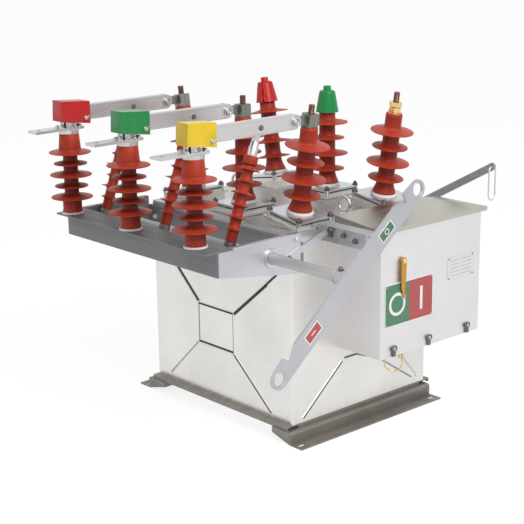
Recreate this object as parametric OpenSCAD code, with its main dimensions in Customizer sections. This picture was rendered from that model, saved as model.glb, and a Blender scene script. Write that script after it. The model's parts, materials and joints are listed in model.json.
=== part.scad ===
// Pole-mounted vacuum circuit breaker with a three-pole knife isolating switch.
// +X runs along the three phases towards the mechanism box, +Y from the switch
// side to the rear bushings, +Z is up. The origin lies on the floor, below the
// middle of the tank.

/* [Phases] */
// Distance between neighbouring phases at the terminals
phase_pitch = 320; // [280:5:380]
// Distance of the front bushings from the middle of the tank
front_row = 200; // [170:5:230]
// Distance of the rear bushings from the middle of the tank
rear_row = 186; // [170:2:230]
// Distance of the outer seats from the middle phase
seat_x = 264; // [255:1:275]
// Distance of the switch posts in front of the middle of the tank
post_row = 668; // [640:2:720]

/* [Base] */
// Height of the two base beams
beam_h = 42; // [35:1:60]
// Thickness of the beams' folded plate
beam_t = 5; // [4:0.5:8]
// Width of the outward foot flange of a beam
foot_w = 53; // [45:1:70]
// Gap between the tank's side and a beam's web
beam_gap = 16; // [8:1:30]
// Width of a beam's upper flange under the tank
beam_top_w = 88; // [60:1:110]
// Depth of the lip on the inner edge of the upper flange
beam_lip = 15; // [10:1:20]
// Radius of the bends of a beam
beam_bend = 8; // [6:1:10]
// Length of a beam beyond the front of the tank
beam_front = 27; // [24:1:60]
// Length of a beam beyond the rear of the tank
beam_back = 4; // [2:1:30]
// Width of a bolt slot
slot_w = 14; // [11:1:18]
// Length of a bolt slot
slot_l = 32; // [24:1:40]
// Distance of a bolt slot from the beam's end
slot_inset = 23; // [20:1:40]
// Height of the angles and rails between the beams and the tank
rail_h = 13; // [8:1:20]
// Thickness of the front and rear base angles
angle_t = 5; // [3:0.5:8]
// Amount by which a base angle stands out from the tank
angle_out = 22; // [10:1:24]
// Width of a base angle's leg under the tank
angle_leg = 50; // [30:1:60]
// Width of the rails under the sides of the tank
rail_w = 40; // [20:1:60]

/* [Tank] */
// Width of the tank along the phases
tank_w = 704; // [640:2:800]
// Depth of the tank from the front row to the rear row
tank_d = 636; // [580:2:700]
// Height of the tank without its cover
tank_h = 620; // [520:5:700]
// Radius of the tank's upright edges
tank_r = 10; // [5:1:20]
// Thickness of the top cover
cover_t = 15; // [10:1:24]
// Amount by which the cover stands out from the tank
cover_out = 4; // [2:1:10]
// Depth of the step round the cover's upper edge
cover_step = 5; // [3:1:8]
// Distance of the lifting rings from the middle of the tank
lift_x = 270; // [220:5:300]
// Radius of a lifting ring, to the middle of its bar
lift_r = 25; // [20:1:35]
// Bar diameter of a lifting ring
lift_d = 10; // [8:1:14]

/* [Bushings] */
// Side length of a bushing's flange plates
flange_w = 150; // [130:2:170]
// Thickness of a bushing's upper flange plate
flange_t = 8; // [5:0.5:12]
// Thickness of the seat under a flange, at the middle phase
seat_t = 19; // [14:0.5:24]
// Extra thickness of the wedge-shaped outer seats, at their middle
seat_lift = 7; // [4:0.5:10]
// Thickness of the gasket between a seat and a flange plate
gasket_t = 4; // [2:0.5:6]
// Height of the white collar ring under a bushing
collar_h = 9; // [5:0.5:14]
// Diameter of the white collar ring
collar_d = 88; // [80:1:110]
// Length of a bushing from its collar to its terminal
bushing_l = 275; // [260:1:340]
// Diameter of a bushing's core
bushing_core_d = 56; // [44:1:64]
// Diameter of a bushing's large sheds
bushing_big_d = 144; // [120:1:170]
// Diameter of a bushing's small sheds
bushing_small_d = 120; // [90:1:140]
// Distance between neighbouring sheds of a bushing
bushing_shed_pitch = 54.3; // [40:0.1:60]
// Height of the lowest shed above a bushing's foot
bushing_first_shed = 50; // [40:1:70]
// Diameter of a bushing's terminal stud
stud_d = 20; // [16:1:26]
// Length of a bare terminal stud above its bushing
stud_l = 70; // [60:1:90]
// Length of a stud under a coloured cap
capped_stud_l = 62; // [54:1:70]

/* [Terminals] */
// Side length of a clamp block on a front stud
clamp_w = 38; // [34:1:50]
// Height of a clamp block
clamp_h = 42; // [34:1:46]
// Width across the hexagon nuts on the bare rear stud
nut_af = 38; // [30:1:46]
// Height of one hexagon nut
nut_h = 20; // [14:1:24]
// Height of the coloured terminal caps above the bushing's end
cap_h = 48; // [42:1:52]
// Depth of a cap's skirt below the bushing's end
cap_skirt = 26; // [16:1:30]
// Diameter of a cap at its skirt
cap_foot_d = 79; // [70:1:84]
// Diameter of a cap at its shoulder
cap_d = 54; // [44:1:68]
// Wall of a cap's skirt and knob
cap_t = 3; // [2:0.5:5]

/* [Posts] */
// Height of a post insulator
post_h = 270; // [250:1:300]
// Thickness of the cast cap on a post
post_cap_t = 8; // [5:0.5:12]
// Diameter of a post insulator's core
post_core_d = 47; // [38:1:56]
// Diameter of a post's large sheds
post_big_d = 136; // [110:1:150]
// Diameter of a post's small sheds
post_small_d = 109; // [80:1:125]
// Distance between neighbouring sheds of a post
post_shed_pitch = 37; // [34:0.5:40]
// Height of the lowest shed above a post's foot
post_first_shed = 55; // [48:1:60]
// Diameter of the plain ends of a post
post_end_d = 62; // [50:1:70]
// Diameter of a post's conical top at its lower end
post_cone_d = 70; // [62:1:80]
// Length of a post's conical top
post_top_l = 24; // [18:1:30]
// Width of a terminal bar
bar_w = 50; // [40:1:60]
// Thickness of a terminal bar
bar_t = 8; // [6:0.5:12]
// Length of a terminal bar in front of its post
bar_front = 138; // [90:1:150]
// Length of a terminal bar behind its post
bar_back = 43; // [40:1:60]
// Diameter of the bolt hole in a terminal bar
bar_hole_d = 14; // [11:0.5:18]
// Distance of the bolt hole from a terminal bar's tip
bar_hole_inset = 25; // [18:1:35]

/* [Knife blades] */
// Height of a blade's channel
blade_h = 48; // [40:1:56]
// Width over a blade's two cheeks
blade_w = 24; // [20:1:30]
// Thickness of a blade's cheeks and web
blade_t = 4; // [3:0.5:6]
// Distance of the hinge pin in front of its bushing stud
hinge_out = 75; // [66:1:88]
// Height of the hinge pin above the clamp block's seat
hinge_rise = 27; // [24:1:32]
// Diameter of the hinge pins
hinge_pin_d = 12; // [8:1:14]
// Side gap between a cheek and what it straddles
cheek_gap = 3; // [2:0.5:4]
// Distance of the drive pin in front of the hinge pin
drive_out = 140; // [124:1:168]
// Depth of the drive pin below the hinge pin
drive_drop = 2; // [0:1:5]
// Diameter of the drive pins
drive_pin_d = 10; // [8:1:12]
// Clearance of a turning pin in its hole, on the radius
pin_gap = 0.3; // [0.2:0.05:0.5]
// Length of a blade beyond its post's axis
blade_tip = 26; // [24:1:40]

/* [Contact hoods] */
// Width of a contact hood
hood_w = 54; // [44:1:60]
// Length of a contact hood
hood_l = 110; // [100:1:130]
// Length of a contact hood beyond its blade's tip
hood_overhang = 16; // [8:1:24]
// Wall of a contact hood
hood_t = 3; // [2:0.5:4]
// Height of a contact hood above its blade's lower edge at the tip
hood_tip_top = 70; // [64:1:90]
// Height of a contact hood above its blade's lower edge at the back
hood_back_top = 62; // [51:1:63]
// Rise of the hood's lower edge at the tip
hood_tip_rise = 4; // [0:1:10]
// Drop of the hood's lower edge at the back
hood_back_drop = 11; // [0:1:12]

/* [Pull rods] */
// Diameter of a pull rod's core
rod_core_d = 34; // [28:1:40]
// Diameter of a pull rod's large sheds
rod_big_d = 72; // [60:1:84]
// Diameter of a pull rod's small sheds
rod_small_d = 56; // [48:1:66]
// Distance between neighbouring sheds of a pull rod
rod_shed_pitch = 37; // [34:0.5:39]
// Distance of the lowest shed from the lower end of a pull rod's insulation
rod_first_shed = 39; // [34:1:44]
// Most sheds on a pull rod
rod_most_sheds = 6; // [4:1:6]
// Plain length kept between the top shed and the end of a pull rod
shed_clear = 12; // [10:1:16]
// Diameter of the thick upper end of a pull rod's insulation
rod_end_d = 44; // [38:1:52]
// Length of the thick upper end of a pull rod's insulation
rod_end_l = 26; // [20:1:30]
// Length of the upper steel fitting of a pull rod
rod_top_l = 87; // [80:1:96]
// Diameter of a pull rod's steel ferrules
rod_ferrule_d = 30; // [26:1:36]
// Length of the fork at the lower end of a pull rod
rod_fork_l = 50; // [48:1:60]

/* [Tray] */
// Height of the tray's top above the cover
tray_rise = 15; // [0:1:30]
// Thickness of the tray's plates
tray_t = 5; // [4:0.5:8]
// Reach of the tray beyond the left phase
tray_left_out = 42; // [38:1:80]
// Reach of the tray beyond the right phase, or as far from the tank
tray_right_out = 90; // [80:1:120]
// Width of the front member's top flange
tray_flange_w = 104; // [90:1:110]
// Shift of the top flange behind the posts' axis
tray_flange_shift = 16; // [8:1:18]
// Height of the front member's web
tray_web_h = 79; // [60:1:100]
// Distance of the front member's web behind the posts' axis
tray_web_back = 12; // [8:1:20]
// Height of a side arm at the tank
arm_back_h = 128; // [100:1:140]
// Height of a side arm at the front member
arm_front_h = 81; // [80:1:100]
// Width of a side arm's top flange
arm_flange_w = 15; // [10:1:20]
// Length of the bracket over the right-hand front edge of the tank
bracket_l = 209; // [180:1:240]
// Distance of the bracket's web in front of the middle of the tank
bracket_y = 204; // [180:1:240]
// Width of the bracket's legs
bracket_w = 50; // [36:1:60]
// Width of the strut between the right arm and the bracket
strut_w = 16; // [12:1:24]
// Distance of the strut's lower bolt in front of the bracket
strut_run = 179; // [150:1:200]
// Rise of the strut between its bolts
strut_rise = 61; // [50:1:64]
// Thickness of the back plate on the tank
back_plate_t = 12; // [8:1:16]
// Height of the back plate on the tank
back_plate_h = 75; // [60:1:100]

/* [Operating shaft] */
// Outer diameter of the operating shaft
shaft_d = 34; // [28:1:42]
// Bore of the operating shaft's tube
shaft_bore_d = 24; // [16:1:26]
// Distance of the shaft in front of the middle of the tank
shaft_y = 450; // [430:1:470]
// Depth of the shaft below the tray's top
shaft_drop = 57; // [45:1:65]
// Length of a crank between the shaft and its pin
crank_l = 101; // [90:1:116]
// Height of the crank pins above the shaft's axis
crank_rise = 2; // [0:1:6]
// Thickness of a crank
crank_t = 8; // [6:0.5:10]
// Radius of a crank's end round its pin
crank_end_r = 13; // [11:0.5:15]
// Outer diameter of the shaft's bearings
bearing_d = 58; // [50:1:66]
// Length of the shaft's bearings
bearing_l = 8; // [6:1:14]
// Radial clearance of the shaft in its bearings
bearing_gap = 0.25; // [0.2:0.05:0.5]

/* [Operating lever] */
// Distance of the lever from the middle phase
lever_x = 735; // [700:1:780]
// Thickness of the lever
lever_t = 8; // [6:0.5:10]
// Distance of a lever's ring from the shaft
lever_reach = 356; // [300:1:400]
// Angle of the lever above the horizontal, in degrees
lever_angle = 39.2; // [30:0.1:50]
// Width of the lever's bar in front of the shaft's axis
lever_fore = 25; // [24:1:35]
// Width of the lever's bar behind the shaft's axis
lever_aft = 40; // [30:1:50]
// Hole diameter of a lever's ring
ring_hole_d = 40; // [30:1:44]
// Outer diameter of a lever's ring
ring_d = 60; // [56:1:70]
// Distance of the enamelled plates from the shaft, along the lever
label_s = 157; // [120:1:180]
// Length of an enamelled plate
label_l = 65; // [50:1:90]
// Width of an enamelled plate
label_w = 34; // [24:1:44]
// Thickness of an enamelled plate
label_t = 1; // [0.5:0.1:2]

/* [Mechanism box] */
// Width of the mechanism box from the tank's side
box_w = 183; // [150:1:220]
// Front of the mechanism box
box_front = 104; // [90:1:120]
// Rear of the mechanism box
box_rear = 376; // [340:1:376]
// Height of the box up to the lid
box_h = 413; // [380:1:440]
// Overhang of the lid beyond the box
lid_out = 15; // [8:1:20]
// Overlap of the lid over the tank's cover
lid_lap = 7; // [3:1:12]
// Gap between the lid and the tank's cover
lid_gap = 4; // [3:0.5:6]
// Height of the lid's outer edge
lid_lip = 14; // [12:1:20]
// Rise of the lid's ridge over its outer edge
lid_rise = 19; // [10:1:30]
// Length of the hip at the rear of the lid
lid_hip = 128; // [60:1:160]
// Drop of the lid's lower edge below the top of the cover
lid_drop = 6; // [0:1:8]

/* [Indicator] */
// Width of the position plate
plate_w = 227; // [180:1:240]
// Height of the position plate
plate_h = 140; // [100:1:160]
// Height of the position plate above the foot of the box
plate_rise = 102; // [70:1:130]
// Distance of the position plate from the box's front
plate_inset = 18; // [10:1:30]
// Thickness of the plates on the box
plate_t = 1.5; // [1:0.5:3]
// Length of the pointer from its pivot
pointer_l = 126; // [100:1:140]
// Width of the pointer at its hub
pointer_w = 25; // [18:1:30]
// Height of the pointer's pin above the foot of the box
pointer_rise = 311; // [290:1:330]
// Distance of the pointer's pivot from the box's front
pointer_inset = 97.5; // [80:0.5:120]
// Distance of the pointer from the box's side
pointer_gap = 7; // [6:0.5:12]
// Width of the nameplate
name_w = 131; // [100:1:150]
// Height of the nameplate
name_h = 78; // [60:1:90]
// Height of the rating plate above the foot of the box
name_rise = 200; // [170:1:230]
// Width of a latch's head
latch_w = 25; // [20:1:30]
// Height of a latch
latch_h = 33; // [26:1:40]
// Height of a latch's head
latch_head = 13; // [10:1:18]
// Thickness of a latch
latch_t = 7; // [4:0.5:10]
// Distance of the outer latches from the box's ends
latch_inset = 60; // [40:1:80]
// Distance of the middle latch behind the middle of the tank
latch_mid = 124; // [110:1:160]
// Distance of the nameplate from the box's rear
name_inset = 32; // [20:1:50]

/* [Charging lever] */
// Width of the charging lever's bar
charge_w = 25; // [20:1:30]
// Thickness of the charging lever's bar
charge_t = 6; // [4:0.5:8]
// Length of the charging lever between its pivot and its end hole
charge_l = 367; // [320:1:400]
// Rise of the charging lever at rest, in degrees
charge_angle = 28.6; // [20:0.1:35]
// Distance of the charging lever's pivot from the middle phase
charge_x = 235; // [210:1:260]
// Depth of the charging shaft below the top of the cover
charge_drop = 35; // [32:1:60]
// Gap between the lid's rear edge and the charging lever
charge_gap = 8; // [6:0.5:14]
// Diameter of the charging lever's stub shaft
charge_shaft_d = 18; // [14:1:24]
// Length of the hanging link
link_l = 118; // [90:1:130]
// Width of the hanging link
link_w = 38; // [30:1:44]
// Wire diameter of the hanging link
link_d = 5; // [4:0.5:7]

/* [Trip ring] */
// Radius of the trip ring, to the middle of its wire
trip_r = 29; // [20:1:34]
// Distance of the trip ring's stem behind the box's outer side
trip_inset = 8; // [7:1:20]
// Distance of the trip ring's stem in front of the middle of the tank
trip_front = 3; // [0:1:60]
// Turn of the trip ring about its stem, in degrees
trip_turn = 48; // [0:1:90]
// Wire diameter of the trip ring
trip_d = 4; // [3:0.5:6]
// Diameter of the trip ring's stem
trip_stem_d = 6; // [5:0.5:8]
// Travel of the trip ring
trip_travel = 15; // [8:1:20]

/* [Hidden] */
steps = 6;
tank_z = beam_h + rail_h;
cover_z = tank_z + tank_h;
cover_top = cover_z + cover_t;
tray_side_in = 32;
tray_z = cover_top + tray_rise;
tray_left = phase_pitch + tray_left_out;
tray_right = max(phase_pitch, tank_w / 2 - tray_side_in) + tray_right_out;
shaft_z = tray_z - shaft_drop;
lid_z = cover_top - lid_drop;
box_z = lid_z - box_h;
plate_z = box_z + plate_rise;
pointer_z = box_z + pointer_rise;
name_z = box_z + name_rise;
charge_z = cover_top - charge_drop;
collar_z = seat_t + gasket_t + flange_t;
bushing_z = collar_z + collar_h;
stud_z = bushing_z + bushing_l;
hinge_h = stud_z + hinge_rise;
// the outer bushings lean so that their hinges lie on the phase pitch
outer_x = seat_x;
bushing_tilt = atan((phase_pitch - seat_x) / hinge_h);
seat_r = flange_w / 2;
// the rings' rounds end flush with the lever's rear edge
ring_t = lever_aft - ring_d / 2;
label_edge = (lever_aft - lever_fore - label_w) / 2;
web_x = tank_w / 2 + beam_gap;
foot_x = web_x + beam_t;
beam_y0 = -tank_d / 2 - beam_front;
beam_y1 = tank_d / 2 + beam_back;
slot_x = foot_x + foot_w / 2;
post_z = tray_z;
bar_z = post_z + post_h + post_cap_t;
contact_top = bar_z + bar_t;
// hinge pin, drive pin and crank pin in the plane of a phase
hinge_y = -front_row - hinge_out;
hinge_z = cover_top + hinge_h;
drive_y = hinge_y - drive_out;
drive_z = hinge_z - drive_drop;
crank_y = -shaft_y - crank_l;
crank_z = shaft_z + crank_rise;
rod_l = norm([drive_y - crank_y, drive_z - crank_z]);
rod_lean = atan2(drive_y - crank_y, drive_z - crank_z);
tip_y = -post_row - blade_tip;
tongue_t = blade_w - 2 * blade_t - 2 * cheek_gap;
web_y = -post_row + tray_web_back;
flange_y = -post_row - tray_flange_w / 2 + tray_flange_shift;
arm_y = -tank_d / 2 - back_plate_t;
box_x = tank_w / 2 + box_w;
box_l = box_rear + box_front;
lid_x0 = tank_w / 2 - lid_lap;
lid_x1 = box_x + lid_out;
lid_y0 = -box_front - lid_out;
lid_y1 = box_rear + lid_out;
lid_x_step = tank_w / 2 + cover_out + lid_gap;
lid_top = lid_z + lid_lip + lid_rise;
pointer_x = box_x + pointer_gap;
pointer_y = pointer_inset - box_front;
trip_x = box_x - trip_inset;
trip_y = -trip_front;
charge_y = lid_y1 + charge_gap;
charge_tip_x = charge_x + charge_l * cos(charge_angle);
charge_tip_z = charge_z + charge_l * sin(charge_angle);
phases = [-1, 0, 1];

// points of a rectangle with rounded corners, centred on the origin
function corner(x, y, r, start) =
    [for (i = [0 : steps]) [x + r * cos(start + 90 * i / steps), y + r * sin(start + 90 * i / steps)]];
function round_rect(w, d, r) = concat(
    corner(w / 2 - r, d / 2 - r, r, 0),
    corner(r - w / 2, d / 2 - r, r, 90),
    corner(r - w / 2, r - d / 2, r, 180),
    corner(w / 2 - r, r - d / 2, r, 270));

// outline of one shed around a core: flat below, sloping above, with a thin rim
function shed(core_r, r, z) = [
    [core_r, z - 1.5 - 0.08 * (r - core_r)],
    [r, z - 1.5],
    [r, z + 1.5],
    [core_r + 5, z + 1.5 + 0.2 * (r - core_r)],
    [core_r, z + 7.5 + 0.2 * (r - core_r)]
];

// shedded insulator body from a list of shed radii, from the lowest up
module insulator(core_r, radii, first, pitch, foot, top) {
    profile = concat(
        [[0, foot[0][1]]],
        foot,
        [for (i = [0 : len(radii) - 1]) each shed(core_r, radii[i], first + i * pitch)],
        top,
        [[0, top[len(top) - 1][1]]]);
    rotate_extrude($fn = 64) polygon(profile);
}

// puts a child on the flange seat of the phase on the side given, leaning with its bushing
module on_seat(side, row) {
    translate([side * outer_x, row < 0 ? -front_row : rear_row, cover_top]) rotate([0, side * bushing_tilt, 0])
        translate([0, 0, abs(side) * seat_lift]) children();
}

module on_every_seat() {
    for (row = [-1, 1], side = phases) on_seat(side, row) children();
}

// a bar along X between two stations, with its section given in Y and Z
module along_x(x0, x1, section) {
    translate([x0, 0, 0]) rotate([90, 0, 90]) linear_extrude(x1 - x0) polygon(section);
}

// a bar along Y between two stations, with its section given in X and Z
module along_y(y0, y1, section) {
    translate([0, y1, 0]) rotate([90, 0, 0]) linear_extrude(y1 - y0) polygon(section);
}

// ---- base ----

module slot_cut(x, y, z, depth) {
    translate([x, y, z]) {
        cube([slot_w, slot_l - slot_w, depth], center = true);
        for (end = [-1, 1]) translate([0, end * (slot_l - slot_w) / 2, 0])
            cylinder(d = slot_w, h = depth, center = true);
    }
}

module base_beam(side) {
    inner = web_x - beam_top_w + beam_t;
    lip_z = beam_h - beam_t - beam_lip;
    section = [
        [web_x, 0], [foot_x + foot_w, 0], [foot_x + foot_w, beam_t], [foot_x, beam_t],
        [foot_x, beam_h - beam_bend], [foot_x - 0.3 * beam_bend, beam_h - 0.3 * beam_bend],
        [foot_x - beam_bend, beam_h], [inner, beam_h], [inner, lip_z], [inner + beam_t, lip_z],
        [inner + beam_t, beam_h - beam_t], [web_x - beam_t, beam_h - beam_t], [web_x, beam_h - 2 * beam_t]
    ];
    closing = [
        [web_x + 1, 1], [web_x + 1, beam_h - beam_t], [inner + 1, beam_h - beam_t], [inner + 1, lip_z + 1]
    ];
    color("lightgray") scale([side, 1, 1]) difference() {
        union() {
            along_y(beam_y0, beam_y1, section);
            along_y(beam_y0, beam_y0 + beam_t, closing);
            along_y(beam_y1 - beam_t, beam_y1, closing);
        }
        slot_cut(slot_x, beam_y0 + slot_inset, beam_t / 2, 3 * beam_t);
        slot_cut(slot_x, beam_y1 - slot_inset, beam_t / 2, 3 * beam_t);
    }
}

module base_angles() {
    reach = tank_d / 2 + angle_out;
    color("lightgray") for (end = [-1, 1]) scale([1, end, 1]) along_x(-tank_w / 2, tank_w / 2, [
        [reach, beam_h], [reach, tank_z], [reach - angle_leg, tank_z], [reach - angle_leg, tank_z - angle_t],
        [reach - angle_t, tank_z - angle_t], [reach - angle_t, beam_h]
    ]);
}

module base_rails() {
    length = tank_d + 2 * angle_out - 2 * angle_leg;
    color("lightgray") for (side = [-1, 1])
        translate([side * (tank_w - rail_w) / 2, 0, beam_h + rail_h / 2])
            cube([rail_w, length, rail_h], center = true);
}

// ---- tank ----

module tank_body() {
    color("silver") translate([0, 0, tank_z]) linear_extrude(tank_h)
        polygon(round_rect(tank_w, tank_d, tank_r));
}

module tank_cover() {
    w = tank_w + 2 * cover_out;
    d = tank_d + 2 * cover_out;
    color("silver") translate([0, 0, cover_z]) {
        linear_extrude(cover_t - cover_step) polygon(round_rect(w, d, tank_r + cover_out));
        translate([0, 0, cover_t - cover_step]) linear_extrude(cover_step)
            polygon(round_rect(w - cover_step, d - cover_step, tank_r));
    }
}

// each ring stands in a small foot welded to the cover
module lifting_rings() {
    foot = [28, 18, 6];
    bar_gap = 2;
    color("silver") for (side = [-1, 1]) translate([side * lift_x, 0, cover_top]) {
        translate([0, 0, lift_r + lift_d / 2 + bar_gap]) rotate([90, 0, 0]) rotate_extrude($fn = 48)
            translate([lift_r, 0]) circle(d = lift_d, $fn = 24);
        translate([-foot[0] / 2, -foot[1] / 2, 0]) cube(foot);
    }
}

// ---- bushings ----

module bushing_seats() {
    sink = seat_r * sin(bushing_tilt) + seat_lift + 2;
    color("silver") intersection() {
        union() on_every_seat() translate([-seat_r, -seat_r, -sink])
            cube([flange_w, flange_w, sink + seat_t]);
        translate([-tank_w, -tank_d, cover_top]) cube([2 * tank_w, 2 * tank_d, 100]);
    }
}

module flange_gaskets() {
    inset = 4;
    color("dimgray") on_every_seat() translate([0, 0, seat_t]) linear_extrude(gasket_t)
        polygon(round_rect(flange_w - 2 * inset, flange_w - 2 * inset, 8));
}

module bushing_flanges() {
    color("silver") on_every_seat() translate([0, 0, seat_t + gasket_t]) linear_extrude(flange_t)
        polygon(round_rect(flange_w, flange_w, 4));
}

module bushing_collars() {
    color("white") on_every_seat() translate([0, 0, collar_z]) cylinder(d = collar_d, h = collar_h);
}

module bushing(side, row) {
    core_r = bushing_core_d / 2;
    color("firebrick") on_seat(side, row) translate([0, 0, bushing_z]) insulator(
        core_r,
        [bushing_small_d / 2, bushing_big_d / 2, bushing_small_d / 2, bushing_big_d / 2],
        bushing_first_shed,
        bushing_shed_pitch,
        [[collar_d / 2 - 4, 0], [collar_d / 2 - 4, 4], [core_r + 6, 24], [core_r, 36]],
        [[core_r, bushing_l]]);
}

module terminal_studs() {
    color("peru") for (row = [-1, 1], side = phases) on_seat(side, row) translate([0, 0, stud_z])
        cylinder(d = stud_d, h = row > 0 && side < 1 ? capped_stud_l : stud_l);
}

module stud_nuts() {
    color("goldenrod") on_seat(1, 1) translate([0, 0, stud_z]) difference() {
        cylinder(d = nut_af / cos(30), h = 2 * nut_h, $fn = 6);
        translate([0, 0, -1]) cylinder(d = stud_d, h = 2 * nut_h + 2);
    }
}

// coloured conical cap over a rear stud: a skirt round the bushing's end, a shoulder and a knob
module terminal_cap(side, shade) {
    stud_r = stud_d / 2 + 0.5;
    knob_r = stud_r + cap_t;
    knob_z = capped_stud_l + cap_t;
    end_r = bushing_core_d / 2 + 0.5;
    color(shade) on_seat(side, 1) translate([0, 0, stud_z]) rotate_extrude($fn = 64) polygon([
        [cap_foot_d / 2 - cap_t, -cap_skirt], [cap_foot_d / 2, -cap_skirt], [cap_d / 2, cap_h - 4],
        [cap_d / 2 - 4, cap_h], [knob_r, cap_h], [knob_r, knob_z], [0, knob_z], [0, capped_stud_l + 0.5],
        [stud_r, capped_stud_l + 0.5], [stud_r, 0], [end_r, 0]
    ]);
}

// clamp on a front stud with the hinge lug and pin of its knife blade
module clamp_block(side) {
    split = 3;
    lug_h = blade_h - 2 * blade_t - 8;
    head_d = hinge_pin_d + 8;
    head_t = 5.5;
    head_gap = 0.5;
    pin_l = blade_w + 2 * (head_gap + head_t);
    on_seat(side, -1) translate([0, 0, stud_z]) difference() {
        translate([-clamp_w / 2, -clamp_w / 2, 0]) cube([clamp_w, clamp_w, clamp_h]);
        translate([0, 0, -1]) cylinder(d = stud_d, h = clamp_h + 2);
        translate([-clamp_w, -split / 2, -1]) cube([clamp_w, split, clamp_h + 2]);
    }
    translate([side * phase_pitch - tongue_t / 2, hinge_y, hinge_z]) {
        rotate([90, 0, 90]) cylinder(d = lug_h, h = tongue_t);
        translate([0, 0, 2 - lug_h / 2]) cube([tongue_t, hinge_out - clamp_w / 2 + 3, lug_h - 4]);
    }
    translate([side * phase_pitch - pin_l / 2, hinge_y, hinge_z]) rotate([0, 90, 0]) {
        cylinder(d = hinge_pin_d, h = pin_l);
        for (z = [0, pin_l - head_t]) translate([0, 0, z]) cylinder(d = head_d, h = head_t);
    }
}

module clamp_blocks() {
    color("lightgray") for (side = phases) clamp_block(side);
}

// ---- posts and terminal bars ----

module post_insulator(side) {
    core_r = post_core_d / 2;
    end_r = post_end_d / 2;
    color("firebrick") translate([side * phase_pitch, -post_row, post_z]) insulator(
        core_r,
        [post_big_d / 2, post_small_d / 2, post_big_d / 2, post_small_d / 2, post_big_d / 2],
        post_first_shed,
        post_shed_pitch,
        [[end_r + 6, 0], [end_r + 6, 7], [end_r, 7], [end_r, 28], [core_r, 36]],
        [[core_r, post_h - post_top_l - 6], [post_cone_d / 2, post_h - post_top_l], [end_r, post_h]]);
}

// terminal bar on the cap of a post with the upright contact that a blade straddles
module terminal_bar(side) {
    contact_t = blade_w - 2 * blade_t - cheek_gap;
    contact_l = 2 * (blade_tip - 4);
    contact_h = hinge_z + blade_h / 2 - blade_t - 8 - contact_top;
    translate([side * phase_pitch, -post_row, bar_z]) {
        difference() {
            translate([-bar_w / 2, -bar_front, 0]) cube([bar_w, bar_front + bar_back, bar_t]);
            translate([0, bar_hole_inset - bar_front, -1]) cylinder(d = bar_hole_d, h = bar_t + 2);
        }
        translate([-contact_t / 2, -contact_l / 2, bar_t]) cube([contact_t, contact_l, contact_h]);
        translate([0, 0, -post_cap_t]) cylinder(d = post_end_d + 4, h = post_cap_t);
    }
}

module terminal_bars() {
    color("silver") for (side = phases) terminal_bar(side);
}

// ---- knife blades ----

module knife_blade(side) {
    half = blade_h / 2;
    inner = blade_w - 2 * blade_t;
    web_gap = 12;
    color("lightgray") difference() {
        union() for (cheek = [-1, 1])
            translate([side * phase_pitch + cheek * (inner + blade_t) / 2, hinge_y, hinge_z]) {
                rotate([0, 90, 0]) cylinder(d = blade_h - 1, h = blade_t, center = true);
                translate([-blade_t / 2, tip_y - hinge_y, -half]) cube([blade_t, hinge_y - tip_y, blade_h]);
            }
        translate([side * phase_pitch, hinge_y, hinge_z]) rotate([0, 90, 0])
            cylinder(r = hinge_pin_d / 2 + pin_gap, h = 2 * blade_w, center = true);
        translate([side * phase_pitch, drive_y, drive_z]) rotate([0, 90, 0])
            cylinder(r = drive_pin_d / 2 + pin_gap, h = 2 * blade_w, center = true);
    }
    color("lightgray") translate([side * phase_pitch - inner / 2, tip_y, hinge_z + half - blade_t])
        cube([inner, hinge_y - web_gap - tip_y, blade_t]);
}

// hood over a blade's tip: open below, closed on the blade at its back
module contact_hood(side, shade) {
    back_wall = 12;
    y0 = tip_y - hood_overhang;
    y1 = y0 + hood_l;
    low = hinge_z - blade_h / 2;
    under = low - 30;
    outer = [
        [y0, low + hood_tip_rise], [y1, low - hood_back_drop],
        [y1, low + hood_back_top], [y0 + 3, low + hood_tip_top]
    ];
    cavity = [
        [y0 + hood_t, under], [y1 - back_wall, under], [y1 - back_wall, low + hood_back_top - hood_t],
        [y0 + hood_t + 3, low + hood_tip_top - hood_t]
    ];
    x = side * phase_pitch;
    color(shade) difference() {
        along_x(x - hood_w / 2, x + hood_w / 2, outer);
        along_x(x - hood_w / 2 + hood_t, x + hood_w / 2 - hood_t, cavity);
        translate([x - blade_w / 2, y0 + hood_t, under]) cube([blade_w, hood_l, low + blade_h - under]);
    }
}

// ---- pull rods ----

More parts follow.
